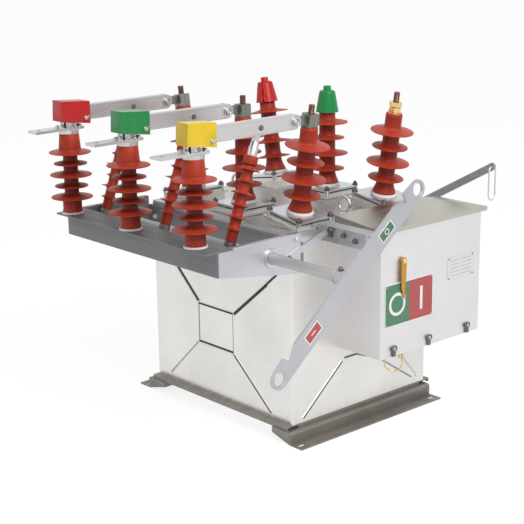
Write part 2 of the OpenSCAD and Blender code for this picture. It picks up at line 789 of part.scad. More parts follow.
// shedded rod between the drive pin of a blade and the pin of its crank
module pull_rod(side) {
    insulator_l = rod_l - rod_top_l - rod_fork_l;
    shed_room = insulator_l - rod_end_l - rod_first_shed - shed_clear;
    rod_sheds = min(rod_most_sheds, 1 + floor(shed_room / rod_shed_pitch));
    core_r = rod_core_d / 2;
    end_r = rod_end_d / 2;
    head_t = 4.5;
    pin_l = blade_w + 2 * head_t + 2;
    tongue_w = 20;
    tongue_l = 44;
    collar_l = 16;
    cheek_t = 5;
    cheek_w = 22;
    cheek_x = (crank_t + cheek_t) / 2 + 5;
    color("firebrick") translate([side * phase_pitch, drive_y, drive_z]) rotate([-rod_lean, 0, 0]) {
        rotate([0, 90, 0]) cylinder(d = tongue_w + 2, h = tongue_t, center = true);
        translate([-tongue_t / 2, -tongue_w / 2, -tongue_l]) cube([tongue_t, tongue_w, tongue_l]);
        translate([0, 0, -rod_top_l]) cylinder(d = rod_ferrule_d, h = rod_top_l - tongue_l + 2);
        translate([-pin_l / 2, 0, 0]) rotate([0, 90, 0]) {
            cylinder(d = drive_pin_d, h = pin_l);
            for (z = [0, pin_l - head_t]) translate([0, 0, z]) cylinder(d = drive_pin_d + 6, h = head_t);
        }
        translate([0, 0, rod_fork_l - rod_l]) insulator(
            core_r,
            [for (i = [0 : rod_sheds - 1]) (i % 2 == 0 ? rod_small_d : rod_big_d) / 2],
            rod_first_shed,
            rod_shed_pitch,
            [[core_r, 0]],
            [[core_r, insulator_l - rod_end_l - 4], [end_r, insulator_l - rod_end_l], [end_r, insulator_l]]);
        translate([0, 0, rod_fork_l - collar_l - rod_l]) cylinder(d = rod_ferrule_d + 6, h = collar_l);
        for (cheek = [-1, 1]) translate([cheek * cheek_x, 0, -rod_l]) {
            translate([-cheek_t / 2, -cheek_w / 2, 0]) cube([cheek_t, cheek_w, rod_fork_l - collar_l + 1]);
            rotate([0, 90, 0]) cylinder(d = cheek_w, h = cheek_t, center = true);
            translate([cheek * cheek_t, 0, 0]) rotate([0, 90, 0])
                cylinder(d = drive_pin_d + 6, h = cheek_t, center = true);
        }
    }
}

// ---- tray ----

module tray_front() {
    color("silver") along_x(-tray_left, tray_right, [
        [web_y - tray_t, tray_z - tray_web_h], [web_y, tray_z - tray_web_h], [web_y, tray_z - tray_t],
        [flange_y + tray_flange_w, tray_z - tray_t], [flange_y + tray_flange_w, tray_z],
        [flange_y, tray_z], [flange_y, tray_z - tray_t], [web_y - tray_t, tray_z - tray_t]
    ]);
}

// side arm between the front member and the back plate; its flange points away from the phases
module tray_arm(x, flange_side) {
    plate = [
        [web_y, tray_z - arm_front_h], [arm_y, tray_z - arm_back_h],
        [arm_y, tray_z], [flange_y + tray_flange_w, tray_z],
        [flange_y + tray_flange_w, tray_z - tray_t], [web_y, tray_z - tray_t]
    ];
    flange_x = flange_side > 0 ? x : x - arm_flange_w;
    color("silver") difference() {
        union() {
            along_x(x, x + tray_t, plate);
            translate([flange_x, flange_y + tray_flange_w, tray_z - tray_t])
                cube([arm_flange_w + (flange_side > 0 ? 0 : tray_t), arm_y - flange_y - tray_flange_w, tray_t]);
        }
        translate([x - 1, -shaft_y, shaft_z]) rotate([0, 90, 0])
            cylinder(r = shaft_d / 2 + 2, h = tray_t + 2);
    }
}

module tray_back() {
    color("silver") translate([-tray_left, arm_y, cover_z - back_plate_h])
        cube([tray_left + tray_right, back_plate_t, back_plate_h]);
}

// flat bar from the right arm up to the lever bracket
module support_strut() {
    half = strut_w / 2;
    y1 = -bracket_y - half;
    y0 = y1 + half - strut_run;
    z1 = tray_z - half;
    z0 = z1 - strut_rise;
    color("silver") along_x(tray_right, tray_right + tray_t, [
        [y0 - half, z0 - half], [y0 + half, z0 - half], [y1 + half, z1 - half], [y1 + half, z1 + half],
        [y1 - half, z1 + half], [y0 - half, z0 + half]
    ]);
}

module lever_bracket() {
    x0 = tank_w / 2 + cover_out;
    color("silver") along_x(x0, x0 + bracket_l, [
        [-bracket_y, tray_z - bracket_w], [tray_t - bracket_y, tray_z - bracket_w],
        [tray_t - bracket_y, tray_z - tray_t], [bracket_w - bracket_y, tray_z - tray_t],
        [bracket_w - bracket_y, tray_z], [-bracket_y, tray_z]
    ]);
}

module shaft_bearings() {
    color("gray") for (x = [tray_right, -tray_left - bearing_l])
        translate([x, -shaft_y, shaft_z]) rotate([0, 90, 0]) difference() {
            cylinder(d = bearing_d, h = bearing_l);
            translate([0, 0, -1]) cylinder(r = shaft_d / 2 + bearing_gap, h = bearing_l + 2);
        }
}

// ---- drive ----

module crank(side) {
    hub_r = shaft_d / 2 + 8;
    translate([side * phase_pitch - crank_t / 2, -shaft_y, shaft_z]) {
        rotate([0, 90, 0]) cylinder(r = hub_r, h = crank_t);
        along_x(0, crank_t, [
            [0, -hub_r], [-crank_l, crank_rise - crank_end_r],
            [-crank_l, crank_rise + crank_end_r], [0, hub_r]
        ]);
        translate([0, -crank_l, crank_rise]) rotate([0, 90, 0]) cylinder(r = crank_end_r, h = crank_t);
    }
}

module operating_shaft() {
    end_out = 6;
    sleeve_l = 50;
    x0 = -tray_left - bearing_l - end_out;
    x1 = lever_x - lever_t / 2;
    color("gray") difference() {
        union() {
            translate([x0, -shaft_y, shaft_z]) rotate([0, 90, 0]) cylinder(d = shaft_d, h = x1 - x0);
            for (side = phases) crank(side);
            translate([x1 - sleeve_l, -shaft_y, shaft_z]) rotate([0, 90, 0])
                cylinder(d = shaft_d + 8, h = sleeve_l);
        }
        translate([x0 - 1, -shaft_y, shaft_z]) rotate([0, 90, 0])
            cylinder(d = shaft_bore_d, h = x1 - x0 - 20);
    }
}

// a point of the lever's plane, from its distance along the lever and across it, in Y and Z
function lever_point(s, t) =
    [s * cos(lever_angle) + t * sin(lever_angle), s * sin(lever_angle) - t * cos(lever_angle)];

// outline of one end: the notch, the hook's tip and the round end
function lever_end(end) = [
    [end * (lever_reach - 100), -lever_fore + 1],
    [end * (lever_reach - 58), ring_t - 8],
    [end * (lever_reach - 49), -lever_fore],
    for (i = [-4 : 3]) [end * (lever_reach + ring_d / 2 * cos(22.5 * i)), ring_t + ring_d / 2 * sin(22.5 * i)],
    [end * lever_reach, lever_aft]
];

function reversed(list) = [for (i = [len(list) - 1 : -1 : 0]) list[i]];

module operating_lever() {
    outline = concat(lever_end(1), reversed(lever_end(-1)));
    x = lever_x - lever_t / 2;
    color("silver") translate([0, -shaft_y, shaft_z]) difference() {
        along_x(x, x + lever_t, [for (p = outline) lever_point(p[0], p[1])]);
        for (end = [-1, 1]) translate(concat([x - 1], lever_point(end * lever_reach, ring_t)))
            rotate([0, 90, 0]) cylinder(d = ring_hole_d, h = lever_t + 2);
    }
}

// enamelled plates on the lever's outer face, green above the shaft and red below it
module lever_labels() {
    x = lever_x + lever_t / 2;
    color("seagreen") for (s = [label_s, -label_s - label_l]) translate([0, -shaft_y, shaft_z])
        along_x(x, x + label_t, [
            lever_point(s, label_edge), lever_point(s + label_l, label_edge),
            lever_point(s + label_l, label_edge + label_w), lever_point(s, label_edge + label_w)
        ]);
}

// ---- mechanism box ----

module mechanism_box() {
    color("silver") difference() {
        translate([tank_w / 2, -box_front, box_z]) cube([box_w, box_l, lid_z - box_z]);
        translate([tank_w / 2 - 1, -box_front - 1, cover_z - lid_gap])
            cube([lid_x_step - tank_w / 2 + 1, box_l + 2, lid_z]);
        translate([trip_x, trip_y, box_z - 1]) cylinder(d = trip_stem_d + 2, h = 3 * trip_travel + 1);
    }
}

module mechanism_lid() {
    color("silver") intersection() {
        along_y(lid_y0, lid_y1, [
            [lid_x0, cover_top + lid_gap], [lid_x_step, cover_top + lid_gap], [lid_x_step, lid_z],
            [lid_x1, lid_z], [lid_x1, lid_z + lid_lip], [lid_x0, lid_top]
        ]);
        along_x(lid_x0 - 1, lid_x1 + 1, [
            [lid_y0, lid_z], [lid_y1, lid_z], [lid_y1, lid_z + lid_lip],
            [lid_y1 - lid_hip, lid_top], [lid_y0, lid_top]
        ]);
    }
}

module position_plate() {
    color("seagreen") translate([box_x, -box_front + plate_inset, plate_z]) cube([plate_t, plate_w, plate_h]);
}

module position_pointer() {
    t = 3;
    tip_y = 8;
    tip_w = 6;
    pin_d = 10;
    color("gold") translate([pointer_x, pointer_y, pointer_z]) {
        rotate([0, 90, 0]) cylinder(d = pointer_w, h = t);
        along_x(0, t, [
            [-pointer_w / 2, 0], [pointer_w / 2, 0],
            [tip_y + tip_w / 2, -pointer_l], [tip_y - tip_w / 2, -pointer_l]
        ]);
        rotate([0, 90, 0]) translate([0, 0, -pointer_gap]) cylinder(d = pin_d, h = pointer_gap + t + 2);
    }
}

module nameplate() {
    color("gray") translate([box_x, box_rear - name_inset - name_w, name_z]) cube([plate_t, name_w, name_h]);
}

// flat clips with a wider head along the box's lower edge
module box_latches() {
    spots = [latch_inset - box_front, latch_mid, box_rear - latch_inset];
    color("gray") for (y = spots) translate([box_x, y, box_z + 1]) {
        translate([0, -latch_w / 4, 0]) cube([latch_t, latch_w / 2, latch_h]);
        translate([0, -latch_w / 2, latch_h - latch_head]) cube([latch_t, latch_w, latch_head]);
    }
}

// ---- charging lever ----

module charging_shaft() {
    reach = charge_y - tank_d / 2;
    color("gray") translate([charge_x, tank_d / 2, charge_z]) rotate([-90, 0, 0]) {
        cylinder(d = charge_shaft_d + 12, h = reach - 3);
        cylinder(d = charge_shaft_d, h = reach + charge_t + 8);
        translate([0, 0, reach + charge_t + 1.5]) cylinder(d = charge_shaft_d + 9, h = 4);
    }
}

module charging_lever() {
    color("silver") translate([charge_x, charge_y, charge_z]) rotate([0, -charge_angle, 0]) difference() {
        union() {
            translate([0, 0, -charge_w / 2]) cube([charge_l, charge_t, charge_w]);
            translate([0, charge_t, 0]) rotate([90, 0, 0]) cylinder(d = charge_w + 8, h = charge_t);
            translate([charge_l, charge_t, 0]) rotate([90, 0, 0]) cylinder(d = charge_w, h = charge_t);
        }
        translate([0, charge_t + 1, 0]) rotate([90, 0, 0])
            cylinder(r = charge_shaft_d / 2 + pin_gap, h = charge_t + 2);
        translate([charge_l, charge_t + 1, 0]) rotate([90, 0, 0]) cylinder(d = link_d + 2, h = charge_t + 2);
    }
}

// closed oblong wire link that hangs through the charging lever's end hole
module charging_link() {
    bend_r = (link_w - link_d) / 2;
    straight = link_l - link_w;
    color("silver") translate([charge_tip_x, charge_y + charge_t / 2, charge_tip_z - bend_r]) {
        for (side = [-1, 1]) translate([0, side * bend_r, -straight]) cylinder(d = link_d, h = straight);
        rotate([90, 0, 90]) rotate_extrude(angle = 180, $fn = 48)
            translate([bend_r, 0]) circle(d = link_d, $fn = 24);
        translate([0, 0, -straight]) rotate([-90, 0, 90]) rotate_extrude(angle = 180, $fn = 48)
            translate([bend_r, 0]) circle(d = link_d, $fn = 24);
    }
}

// pull ring under the box, turned outwards, with its stem rising into the box
module trip_ring() {
    eye_z = -12;
    eye_d = 11;
    color("goldenrod") translate([trip_x, trip_y, box_z + eye_z]) {
        rotate([0, 0, trip_turn]) translate([-trip_r * cos(45), 0, -trip_r * sin(45)]) rotate([90, 0, 0])
            rotate_extrude($fn = 48) translate([trip_r, 0]) circle(d = trip_d, $fn = 24);
        sphere(d = eye_d, $fn = 32);
        cylinder(d = trip_stem_d, h = 2 * trip_travel - eye_z);
    }
}

// bent rod under the box with a ball at its end
module trip_rod() {
    rod_d = 8;
    bend_z = -16;
    run = 71;
    drop = 79;
    reach = norm([run, drop]);
    color("gray") translate([trip_x, trip_y + 12, box_z]) {
        translate([0, 0, bend_z]) cylinder(d = rod_d + 1, h = -bend_z);
        translate([0, 0, bend_z]) rotate([-90 - atan2(drop, run), 0, 0]) {
            cylinder(d = rod_d, h = reach);
            translate([0, 0, reach]) sphere(d = rod_d + 5, $fn = 32);
        }
        translate([0, 0, bend_z]) sphere(d = rod_d + 1, $fn = 32);
    }
}

base_beam(-1);  // base_beam_left
base_beam(1);  // base_beam_right
base_angles();
base_rails();
tank_body();
tank_cover();
lifting_rings();
bushing_seats();
flange_gaskets();
bushing_flanges();
bushing_collars();
bushing(-1, -1);  // bushing_front_left
bushing(0, -1);  // bushing_front_middle
bushing(1, -1);  // bushing_front_right
bushing(-1, 1);  // bushing_rear_left
bushing(0, 1);  // bushing_rear_middle
bushing(1, 1);  // bushing_rear_right
terminal_studs();
stud_nuts();
terminal_cap(-1, "red");  // terminal_cap_red
terminal_cap(0, "green");  // terminal_cap_green
clamp_blocks();
post_insulator(-1);  // post_insulator_left
post_insulator(0);  // post_insulator_middle
post_insulator(1);  // post_insulator_right
terminal_bars();
knife_blade(-1);  // knife_blade_left
knife_blade(0);  // knife_blade_middle
knife_blade(1);  // knife_blade_right
contact_hood(-1, "red");  // contact_hood_left
contact_hood(0, "green");  // contact_hood_middle
contact_hood(1, "gold");  // contact_hood_right
pull_rod(-1);  // pull_rod_left
pull_rod(0);  // pull_rod_middle
pull_rod(1);  // pull_rod_right
tray_front();
tray_arm(-tray_left, -1);  // tray_arm_left
tray_arm(tray_right - tray_t, -1);  // tray_arm_right
tray_back();
support_strut();
lever_bracket();
shaft_bearings();
operating_shaft();
operating_lever();
lever_labels();
mechanism_box();
mechanism_lid();
position_plate();
position_pointer();
nameplate();
box_latches();
charging_shaft();
charging_lever();
charging_link();
trip_ring();
trip_rod();
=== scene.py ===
import json
import math

import bmesh
import bpy
from mathutils import Matrix, Vector


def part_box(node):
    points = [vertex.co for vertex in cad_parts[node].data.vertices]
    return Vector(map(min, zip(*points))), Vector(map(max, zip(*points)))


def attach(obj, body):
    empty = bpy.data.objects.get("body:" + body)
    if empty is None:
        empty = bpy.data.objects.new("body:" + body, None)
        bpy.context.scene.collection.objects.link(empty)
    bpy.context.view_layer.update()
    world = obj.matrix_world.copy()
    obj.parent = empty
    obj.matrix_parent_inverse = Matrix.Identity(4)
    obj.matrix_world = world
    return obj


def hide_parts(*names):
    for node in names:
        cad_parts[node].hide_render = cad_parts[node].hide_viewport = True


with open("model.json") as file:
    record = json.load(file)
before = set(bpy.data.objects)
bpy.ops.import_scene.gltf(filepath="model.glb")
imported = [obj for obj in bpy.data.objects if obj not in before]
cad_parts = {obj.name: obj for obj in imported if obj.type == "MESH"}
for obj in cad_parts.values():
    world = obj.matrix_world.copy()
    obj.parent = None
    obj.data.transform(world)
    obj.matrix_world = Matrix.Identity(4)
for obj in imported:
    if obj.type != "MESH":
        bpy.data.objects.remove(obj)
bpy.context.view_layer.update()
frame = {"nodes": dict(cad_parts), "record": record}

# ---- driving sizes, in millimetres, as in the construction ----
PITCH = 320              # between neighbouring phases
TILT = math.radians(9.299)  # outward lean of the outer bushings
SEAT_H = 23              # seat and gasket under a flange plate
SEAT_LIFT = 7            # extra height of the outer, wedge-shaped seats
POST_CAP_T = 8           # metal cap of a post
BAR_T = 8                # terminal bar
FLANGE_T = 8             # flange plate
FLANGE_W = 150
HINGE = (-275, 1032)     # blade hinge, Y and Z
DRIVE = (-415, 1030)     # drive pin of the pull rod, Y and Z
CRANK = (-551, 650)      # crank pin, Y and Z
SHAFT = (-450, 648)      # operating shaft, Y and Z
LIFT_X = 270             # lifting ring, from the middle
PIN = (-6.5, 582)        # pin of the position pointer, Y and Z
LEVER_ANGLE = math.radians(39.2)
PHASES = (-1, 0, 1)
SIDES = ("left", "middle", "right")

# ---- camera, at the photograph's place ----
CAMERA_PLACE = (3.292, -3.039, 1.676)
CAMERA_AZIMUTH = math.radians(138.49)
CAMERA_PITCH = math.radians(15.01)
CAMERA_ROLL = math.radians(-0.78)
CAMERA_LENS = 91.65


def span(node):
    """Lowest and highest corner of a CAD node, in millimetres."""
    low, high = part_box(node)
    return low * 1000, high * 1000


# ======== materials ========

def material(name, metallic=0.0, roughness=0.5):
    made = bpy.data.materials.new(name)
    made.use_nodes = True
    shader = made.node_tree.nodes["Principled BSDF"]
    shader.inputs["Metallic"].default_value = metallic
    shader.inputs["Roughness"].default_value = roughness
    return made


def noise(tree, scale, detail=3.0, stretch=(1, 1, 1), roughness=0.5):
    """Noise in the object's own coordinates, stretched along the axes."""
    place = tree.nodes.new("ShaderNodeTexCoord")
    mapping = tree.nodes.new("ShaderNodeMapping")
    mapping.inputs["Scale"].default_value = stretch
    texture = tree.nodes.new("ShaderNodeTexNoise")
    texture.inputs["Scale"].default_value = scale
    texture.inputs["Detail"].default_value = detail
    texture.inputs["Roughness"].default_value = roughness
    tree.links.new(place.outputs["Object"], mapping.inputs["Vector"])
    tree.links.new(mapping.outputs["Vector"], texture.inputs["Vector"])
    return texture.outputs["Fac"]


def ramp(tree, source, low, high, start=0.3, end=0.7):
    """Colour between two colours as the source goes from start to end."""
    made = tree.nodes.new("ShaderNodeValToRGB")
    for stop, place, colour in zip(made.color_ramp.elements, (start, end), (low, high)):
        stop.position = place
        stop.color = (*colour, 1)
    tree.links.new(source, made.inputs["Fac"])
    return made.outputs["Color"]


def spread(tree, source, low, high, start=0.3, end=0.7):
    """Number between low and high as the source goes from start to end."""
    made = tree.nodes.new("ShaderNodeMapRange")
    for name, value in zip(("From Min", "From Max", "To Min", "To Max"), (start, end, low, high)):
        made.inputs[name].default_value = value
    tree.links.new(source, made.inputs["Value"])
    return made.outputs["Result"]


def blend_colour(tree, factor, first, second, mode="MIX"):
    """Mix of two colours; each of the three is a value or a socket."""
    made = tree.nodes.new("ShaderNodeMix")
    made.data_type = "RGBA"
    made.blend_type = mode
    for socket, value in ((0, factor), (6, first), (7, second)):
        if isinstance(value, float):
            made.inputs[socket].default_value = value
        elif isinstance(value, tuple):
            made.inputs[socket].default_value = (*value, 1)
        else:
            tree.links.new(value, made.inputs[socket])
    return made.outputs[2]


def bump(tree, shader, height, strength, distance=0.001):
    made = tree.nodes.new("ShaderNodeBump")
    made.inputs["Strength"].default_value = strength
    made.inputs["Distance"].default_value = distance
    tree.links.new(height, made.inputs["Height"])
    tree.links.new(made.outputs["Normal"], shader.inputs["Normal"])


def facing_up(tree):
    """How far a surface faces the sky, from -1 to 1."""
    geometry = tree.nodes.new("ShaderNodeNewGeometry")
    parts = tree.nodes.new("ShaderNodeSeparateXYZ")
    tree.links.new(geometry.outputs["Normal"], parts.inputs["Vector"])
    return parts.outputs["Z"]


def enclosed(tree, distance):
    """Openness of a spot, from 0 in a narrow gap to 1 on a free face."""
    made = tree.nodes.new("ShaderNodeAmbientOcclusion")
    made.inputs["Distance"].default_value = distance
    return made.outputs["AO"]


def edge_wear(tree):
    geometry = tree.nodes.new("ShaderNodeNewGeometry")
    return geometry.outputs["Pointiness"]


def steel(name, colour, roughness, grain=(1, 1, 1), cloud=0.06, bump_strength=0.015, metallic=1.0):
    """Sheet or turned metal: cloudy tone, fine grain stretched along the rolling direction."""
    made = material(name, metallic, roughness)
    tree = made.node_tree
    shader = tree.nodes["Principled BSDF"]
    dark = tuple(c * (1 - cloud) for c in colour)
    light = tuple(min(1.0, c * (1 + cloud)) for c in colour)
    tone = ramp(tree, noise(tree, 5.0, 4.0), dark, light)
    streaks = noise(tree, 90.0, 4.0, grain, 0.6)
    streak_tone = ramp(tree, streaks, (0.96, 0.96, 0.96), (1, 1, 1), 0.35, 0.6)
    mixed = blend_colour(tree, 0.7, tone, streak_tone, "MULTIPLY")
    tree.links.new(mixed, shader.inputs["Base Color"])
    tree.links.new(spread(tree, streaks, roughness * 0.8, roughness * 1.25), shader.inputs["Roughness"])
    bump(tree, shader, streaks, bump_strength)
    return made


def silicone():
    """Brick-red moulded rubber: faint mottling, painted shade on the undersides and between the sheds, dust
    and painted top light on top of the sheds, paler rims.
    """
    made = material("red_silicone", 0.0, 0.42)
    tree = made.node_tree
    shader = tree.nodes["Principled BSDF"]
    shader.inputs["Specular IOR Level"].default_value = 0.28
    tone = ramp(tree, noise(tree, 22.0, 5.0), (0.37, 0.030, 0.012), (0.47, 0.045, 0.018))
    # upward faces turn a paler, more orange red in patches: partly dust, partly painted light from above on
    # the shed tops
    patch_noise = noise(tree, 60.0, 4.0)
    dust_and_top_light = tree.nodes.new("ShaderNodeMath")
    dust_and_top_light.operation = "MULTIPLY"
    tree.links.new(spread(tree, facing_up(tree), 0.0, 0.42, 0.2, 1.0), dust_and_top_light.inputs[0])
    tree.links.new(patch_noise, dust_and_top_light.inputs[1])
    # painted shade: faces turned downwards are darkened towards a near-black red
    underside_painted_shade = blend_colour(tree, spread(tree, facing_up(tree), 0.7, 0.0, -0.5, 0.2), tone, (0.12, 0.008, 0.005))
    # painted shade: ambient occlusion darkens the narrow gaps between the sheds and the core
    gap_painted_shade = spread(tree, enclosed(tree, 0.045), 1.0, 0.0, 0.30, 0.80)
    shaded = blend_colour(tree, gap_painted_shade, underside_painted_shade, (0.085, 0.006, 0.004))
    dusty_and_top_lit = blend_colour(tree, dust_and_top_light.outputs[0], shaded, (0.60, 0.085, 0.045))
    rims = spread(tree, edge_wear(tree), 0.0, 0.30, 0.54, 0.64)
    tree.links.new(blend_colour(tree, rims, dusty_and_top_lit, (0.62, 0.12, 0.075)), shader.inputs["Base Color"])
    tree.links.new(spread(tree, patch_noise, 0.36, 0.52), shader.inputs["Roughness"])
    bump(tree, shader, noise(tree, 420.0, 2.0), 0.06)
    return made


def plastic(name, colour, roughness=0.32):
    """Moulded cap: slight mottling, paler worn edges, faint orange-peel."""
    made = material(name, 0.0, roughness)
    tree = made.node_tree
    shader = tree.nodes["Principled BSDF"]
    shader.inputs["Coat Weight"].default_value = 0.08
    shader.inputs["Specular IOR Level"].default_value = 0.3
    shader.inputs["Coat Roughness"].default_value = 0.25
    dark = tuple(c * 0.86 for c in colour)
    tone = ramp(tree, noise(tree, 30.0, 4.0), dark, colour)
    worn = tuple(min(1.0, c * 0.75 + 0.25) for c in colour)
    edges = spread(tree, edge_wear(tree), 0.0, 0.35, 0.53, 0.62)
    tree.links.new(blend_colour(tree, edges, tone, worn), shader.inputs["Base Color"])
    gloss = spread(tree, noise(tree, 120.0), roughness * 0.85, roughness * 1.2)
    tree.links.new(gloss, shader.inputs["Roughness"])
    bump(tree, shader, noise(tree, 350.0, 2.0), 0.05)
    return made


def matte(name, colour, roughness=0.6, variation=0.1):
    made = material(name, 0.0, roughness)
    tree = made.node_tree
    shader = tree.nodes["Principled BSDF"]
    dark = tuple(c * (1 - variation) for c in colour)
    tree.links.new(ramp(tree, noise(tree, 40.0, 4.0), dark, colour), shader.inputs["Base Color"])
    bump(tree, shader, noise(tree, 300.0, 3.0), 0.08)
    return made


def dirty_steel():
    """Dull brownish base steel: mill scale, stains and paler scuffed edges."""
    made = material("galvanized_base", 0.55, 0.5)
    tree = made.node_tree
    shader = tree.nodes["Principled BSDF"]
    scale_tone = ramp(tree, noise(tree, 14.0, 6.0, (1, 1, 2.5)), (0.095, 0.083, 0.07), (0.215, 0.197, 0.172))
    stains = spread(tree, noise(tree, 4.0, 5.0), 0.0, 0.55, 0.45, 0.7)
    stained = blend_colour(tree, stains, scale_tone, (0.10, 0.075, 0.055))
    scuffs = spread(tree, edge_wear(tree), 0.0, 0.6, 0.53, 0.62)
    tree.links.new(blend_colour(tree, scuffs, stained, (0.36, 0.34, 0.31)), shader.inputs["Base Color"])
    tree.links.new(spread(tree, noise(tree, 30.0, 4.0), 0.38, 0.62), shader.inputs["Roughness"])
    bump(tree, shader, noise(tree, 160.0, 4.0), 0.15)
    return made


ALONG_X = (0.06, 1, 1)
ALONG_Y = (1, 0.06, 1)
ALONG_Z = (1, 1, 0.06)

MATERIALS = {
    "galvanized_base": dirty_steel(),
    "polished_stainless": steel("polished_stainless", (0.74, 0.725, 0.70), 0.30, (1, 1, 0.3), 0.06, 0.0),
    "plated_steel": steel("plated_steel", (0.60, 0.60, 0.59), 0.32, cloud=0.12),
    "gasket_rubber": matte("gasket_rubber", (0.035, 0.035, 0.037), 0.7),
    "flange_steel": steel("flange_steel", (0.62, 0.63, 0.65), 0.3, ALONG_X, 0.1),
    "white_collar": matte("white_collar", (0.86, 0.85, 0.83), 0.5, 0.06),
    "red_silicone": silicone(),
    "copper_stud": steel("copper_stud", (0.18, 0.10, 0.07), 0.42, cloud=0.25),
    "brass": steel("brass", (0.80, 0.58, 0.26), 0.27, cloud=0.18),
    "red_cap": plastic("red_cap", (0.58, 0.008, 0.008)),
    "green_cap": plastic("green_cap", (0.009, 0.27, 0.062)),
    "yellow_cap": plastic("yellow_cap", (0.80, 0.56, 0.010)),
    "silvered_copper": steel("silvered_copper", (0.62, 0.61, 0.61), 0.33, ALONG_Y, 0.08),
    "brushed_stainless": steel("brushed_stainless", (0.66, 0.665, 0.69), 0.42, ALONG_Y, 0.05),
    "shaft_steel": steel("shaft_steel", (0.50, 0.50, 0.50), 0.55, cloud=0.06, metallic=0.8),
    "enamel_plate": plastic("enamel_plate", (0.86, 0.87, 0.86), 0.25),
    "etched_plate": steel("etched_plate", (0.74, 0.73, 0.74), 0.4, ALONG_Y, 0.04),
}
EXTRA = {
    # painted shade: a darker, less metallic copy of the tray's steel for the tray faces turned from the
    # light; the right arm keeps arm_steel
    "tray_steel_painted_shade": steel("tray_steel_painted_shade", (0.20, 0.204, 0.206), 0.5, ALONG_X, 0.06, metallic=0.35),
    "cover_steel": steel("cover_steel", (0.60, 0.60, 0.585), 0.45, ALONG_X, 0.04, 0.004),
    # painted shade: grey strip for the fainter pressed lines of the tank
    "painted_shade_grey": matte("painted_shade_grey", (0.27, 0.26, 0.25), 0.6),
    "arm_steel": steel("arm_steel", (0.60, 0.61, 0.645), 0.45, ALONG_Y, 0.04),
    "lever_steel": steel("lever_steel", (0.50, 0.51, 0.535), 0.5, cloud=0.05),
    "box_steel": steel("box_steel", (0.76, 0.75, 0.755), 0.42, (1, 1, 0.3), 0.03, 0.0),
    "lid_steel": steel("lid_steel", (0.52, 0.51, 0.46), 0.42, ALONG_Y, 0.05),
    "zinc_block": steel("zinc_block", (0.25, 0.262, 0.235), 0.48, ALONG_Z, 0.14),
    # painted shade: near-black strip for the shade in pressed lines, the clamp splits and the box seam
    "painted_shade_dark": matte("painted_shade_dark", (0.03, 0.028, 0.026), 0.6),
    "dark_bolt": steel("dark_bolt", (0.20, 0.19, 0.18), 0.4, cloud=0.2),
    "amber": plastic("amber", (0.62, 0.29, 0.018), 0.3),
    "green_enamel": plastic("green_enamel", (0.004, 0.165, 0.06), 0.5),
    "red_enamel": plastic("red_enamel", (0.42, 0.008, 0.010), 0.5),
    "white_enamel": plastic("white_enamel", (0.88, 0.89, 0.88), 0.25),
    "label_green": plastic("label_green", (0.004, 0.11, 0.03), 0.5),
}
MATERIALS.update(EXTRA)
NODE_LOOK = {
    # the front, left arm and back of the tray take the steel copy with painted shade
    "tray_front": "tray_steel_painted_shade",
    "tray_arm_left": "tray_steel_painted_shade",
    "tank_cover": "cover_steel",
    "tray_arm_right": "arm_steel",
    "tray_back": "tray_steel_painted_shade",
    "operating_lever": "lever_steel",
    "charging_lever": "lever_steel",
    "mechanism_box": "box_steel",
    "mechanism_lid": "lid_steel",
    "box_latches": "dark_bolt",
    "support_strut": "arm_steel",
    "lever_bracket": "lever_steel",
    "position_pointer": "amber",
    "clamp_blocks": "zinc_block",
}
SLOT_OF = {part["node"]: part["material_slot"] for part in frame["record"]["subparts"]}


def dress_nodes():
    for name, node in frame["nodes"].items():
        node.data.materials.clear()
        node.data.materials.append(MATERIALS[NODE_LOOK.get(name, SLOT_OF[name])])


# ======== mesh building ========

def arc(radius, start, step, count, x=0.0, y=0.0):
    """Points on a circle, with the start and the step in degrees."""
    angles = [math.radians(start + step * k) for k in range(count)]
    return [(x + radius * math.cos(angle), y + radius * math.sin(angle)) for angle in angles]


def ring_profile(core, radius, z, edge=1.6):
    """Half of a shed: flat below, rounded rim, gentle slope above, filleted into the core."""
    points = [(core, z - 6), (core + 1.2, z - 3.6), (core + 4, z - 2.6), (radius - edge - 3, z - edge)]
    points += arc(edge, -90, 30, 7, radius - edge, z)
    slope = 0.19
    fillet = 9
    root = z + edge + slope * (radius - core - fillet)
    return points + [(core + out, root + up) for out, up in ((fillet, 0), (4.5, 1.8), (1.5, 4.2), (0, 8))]


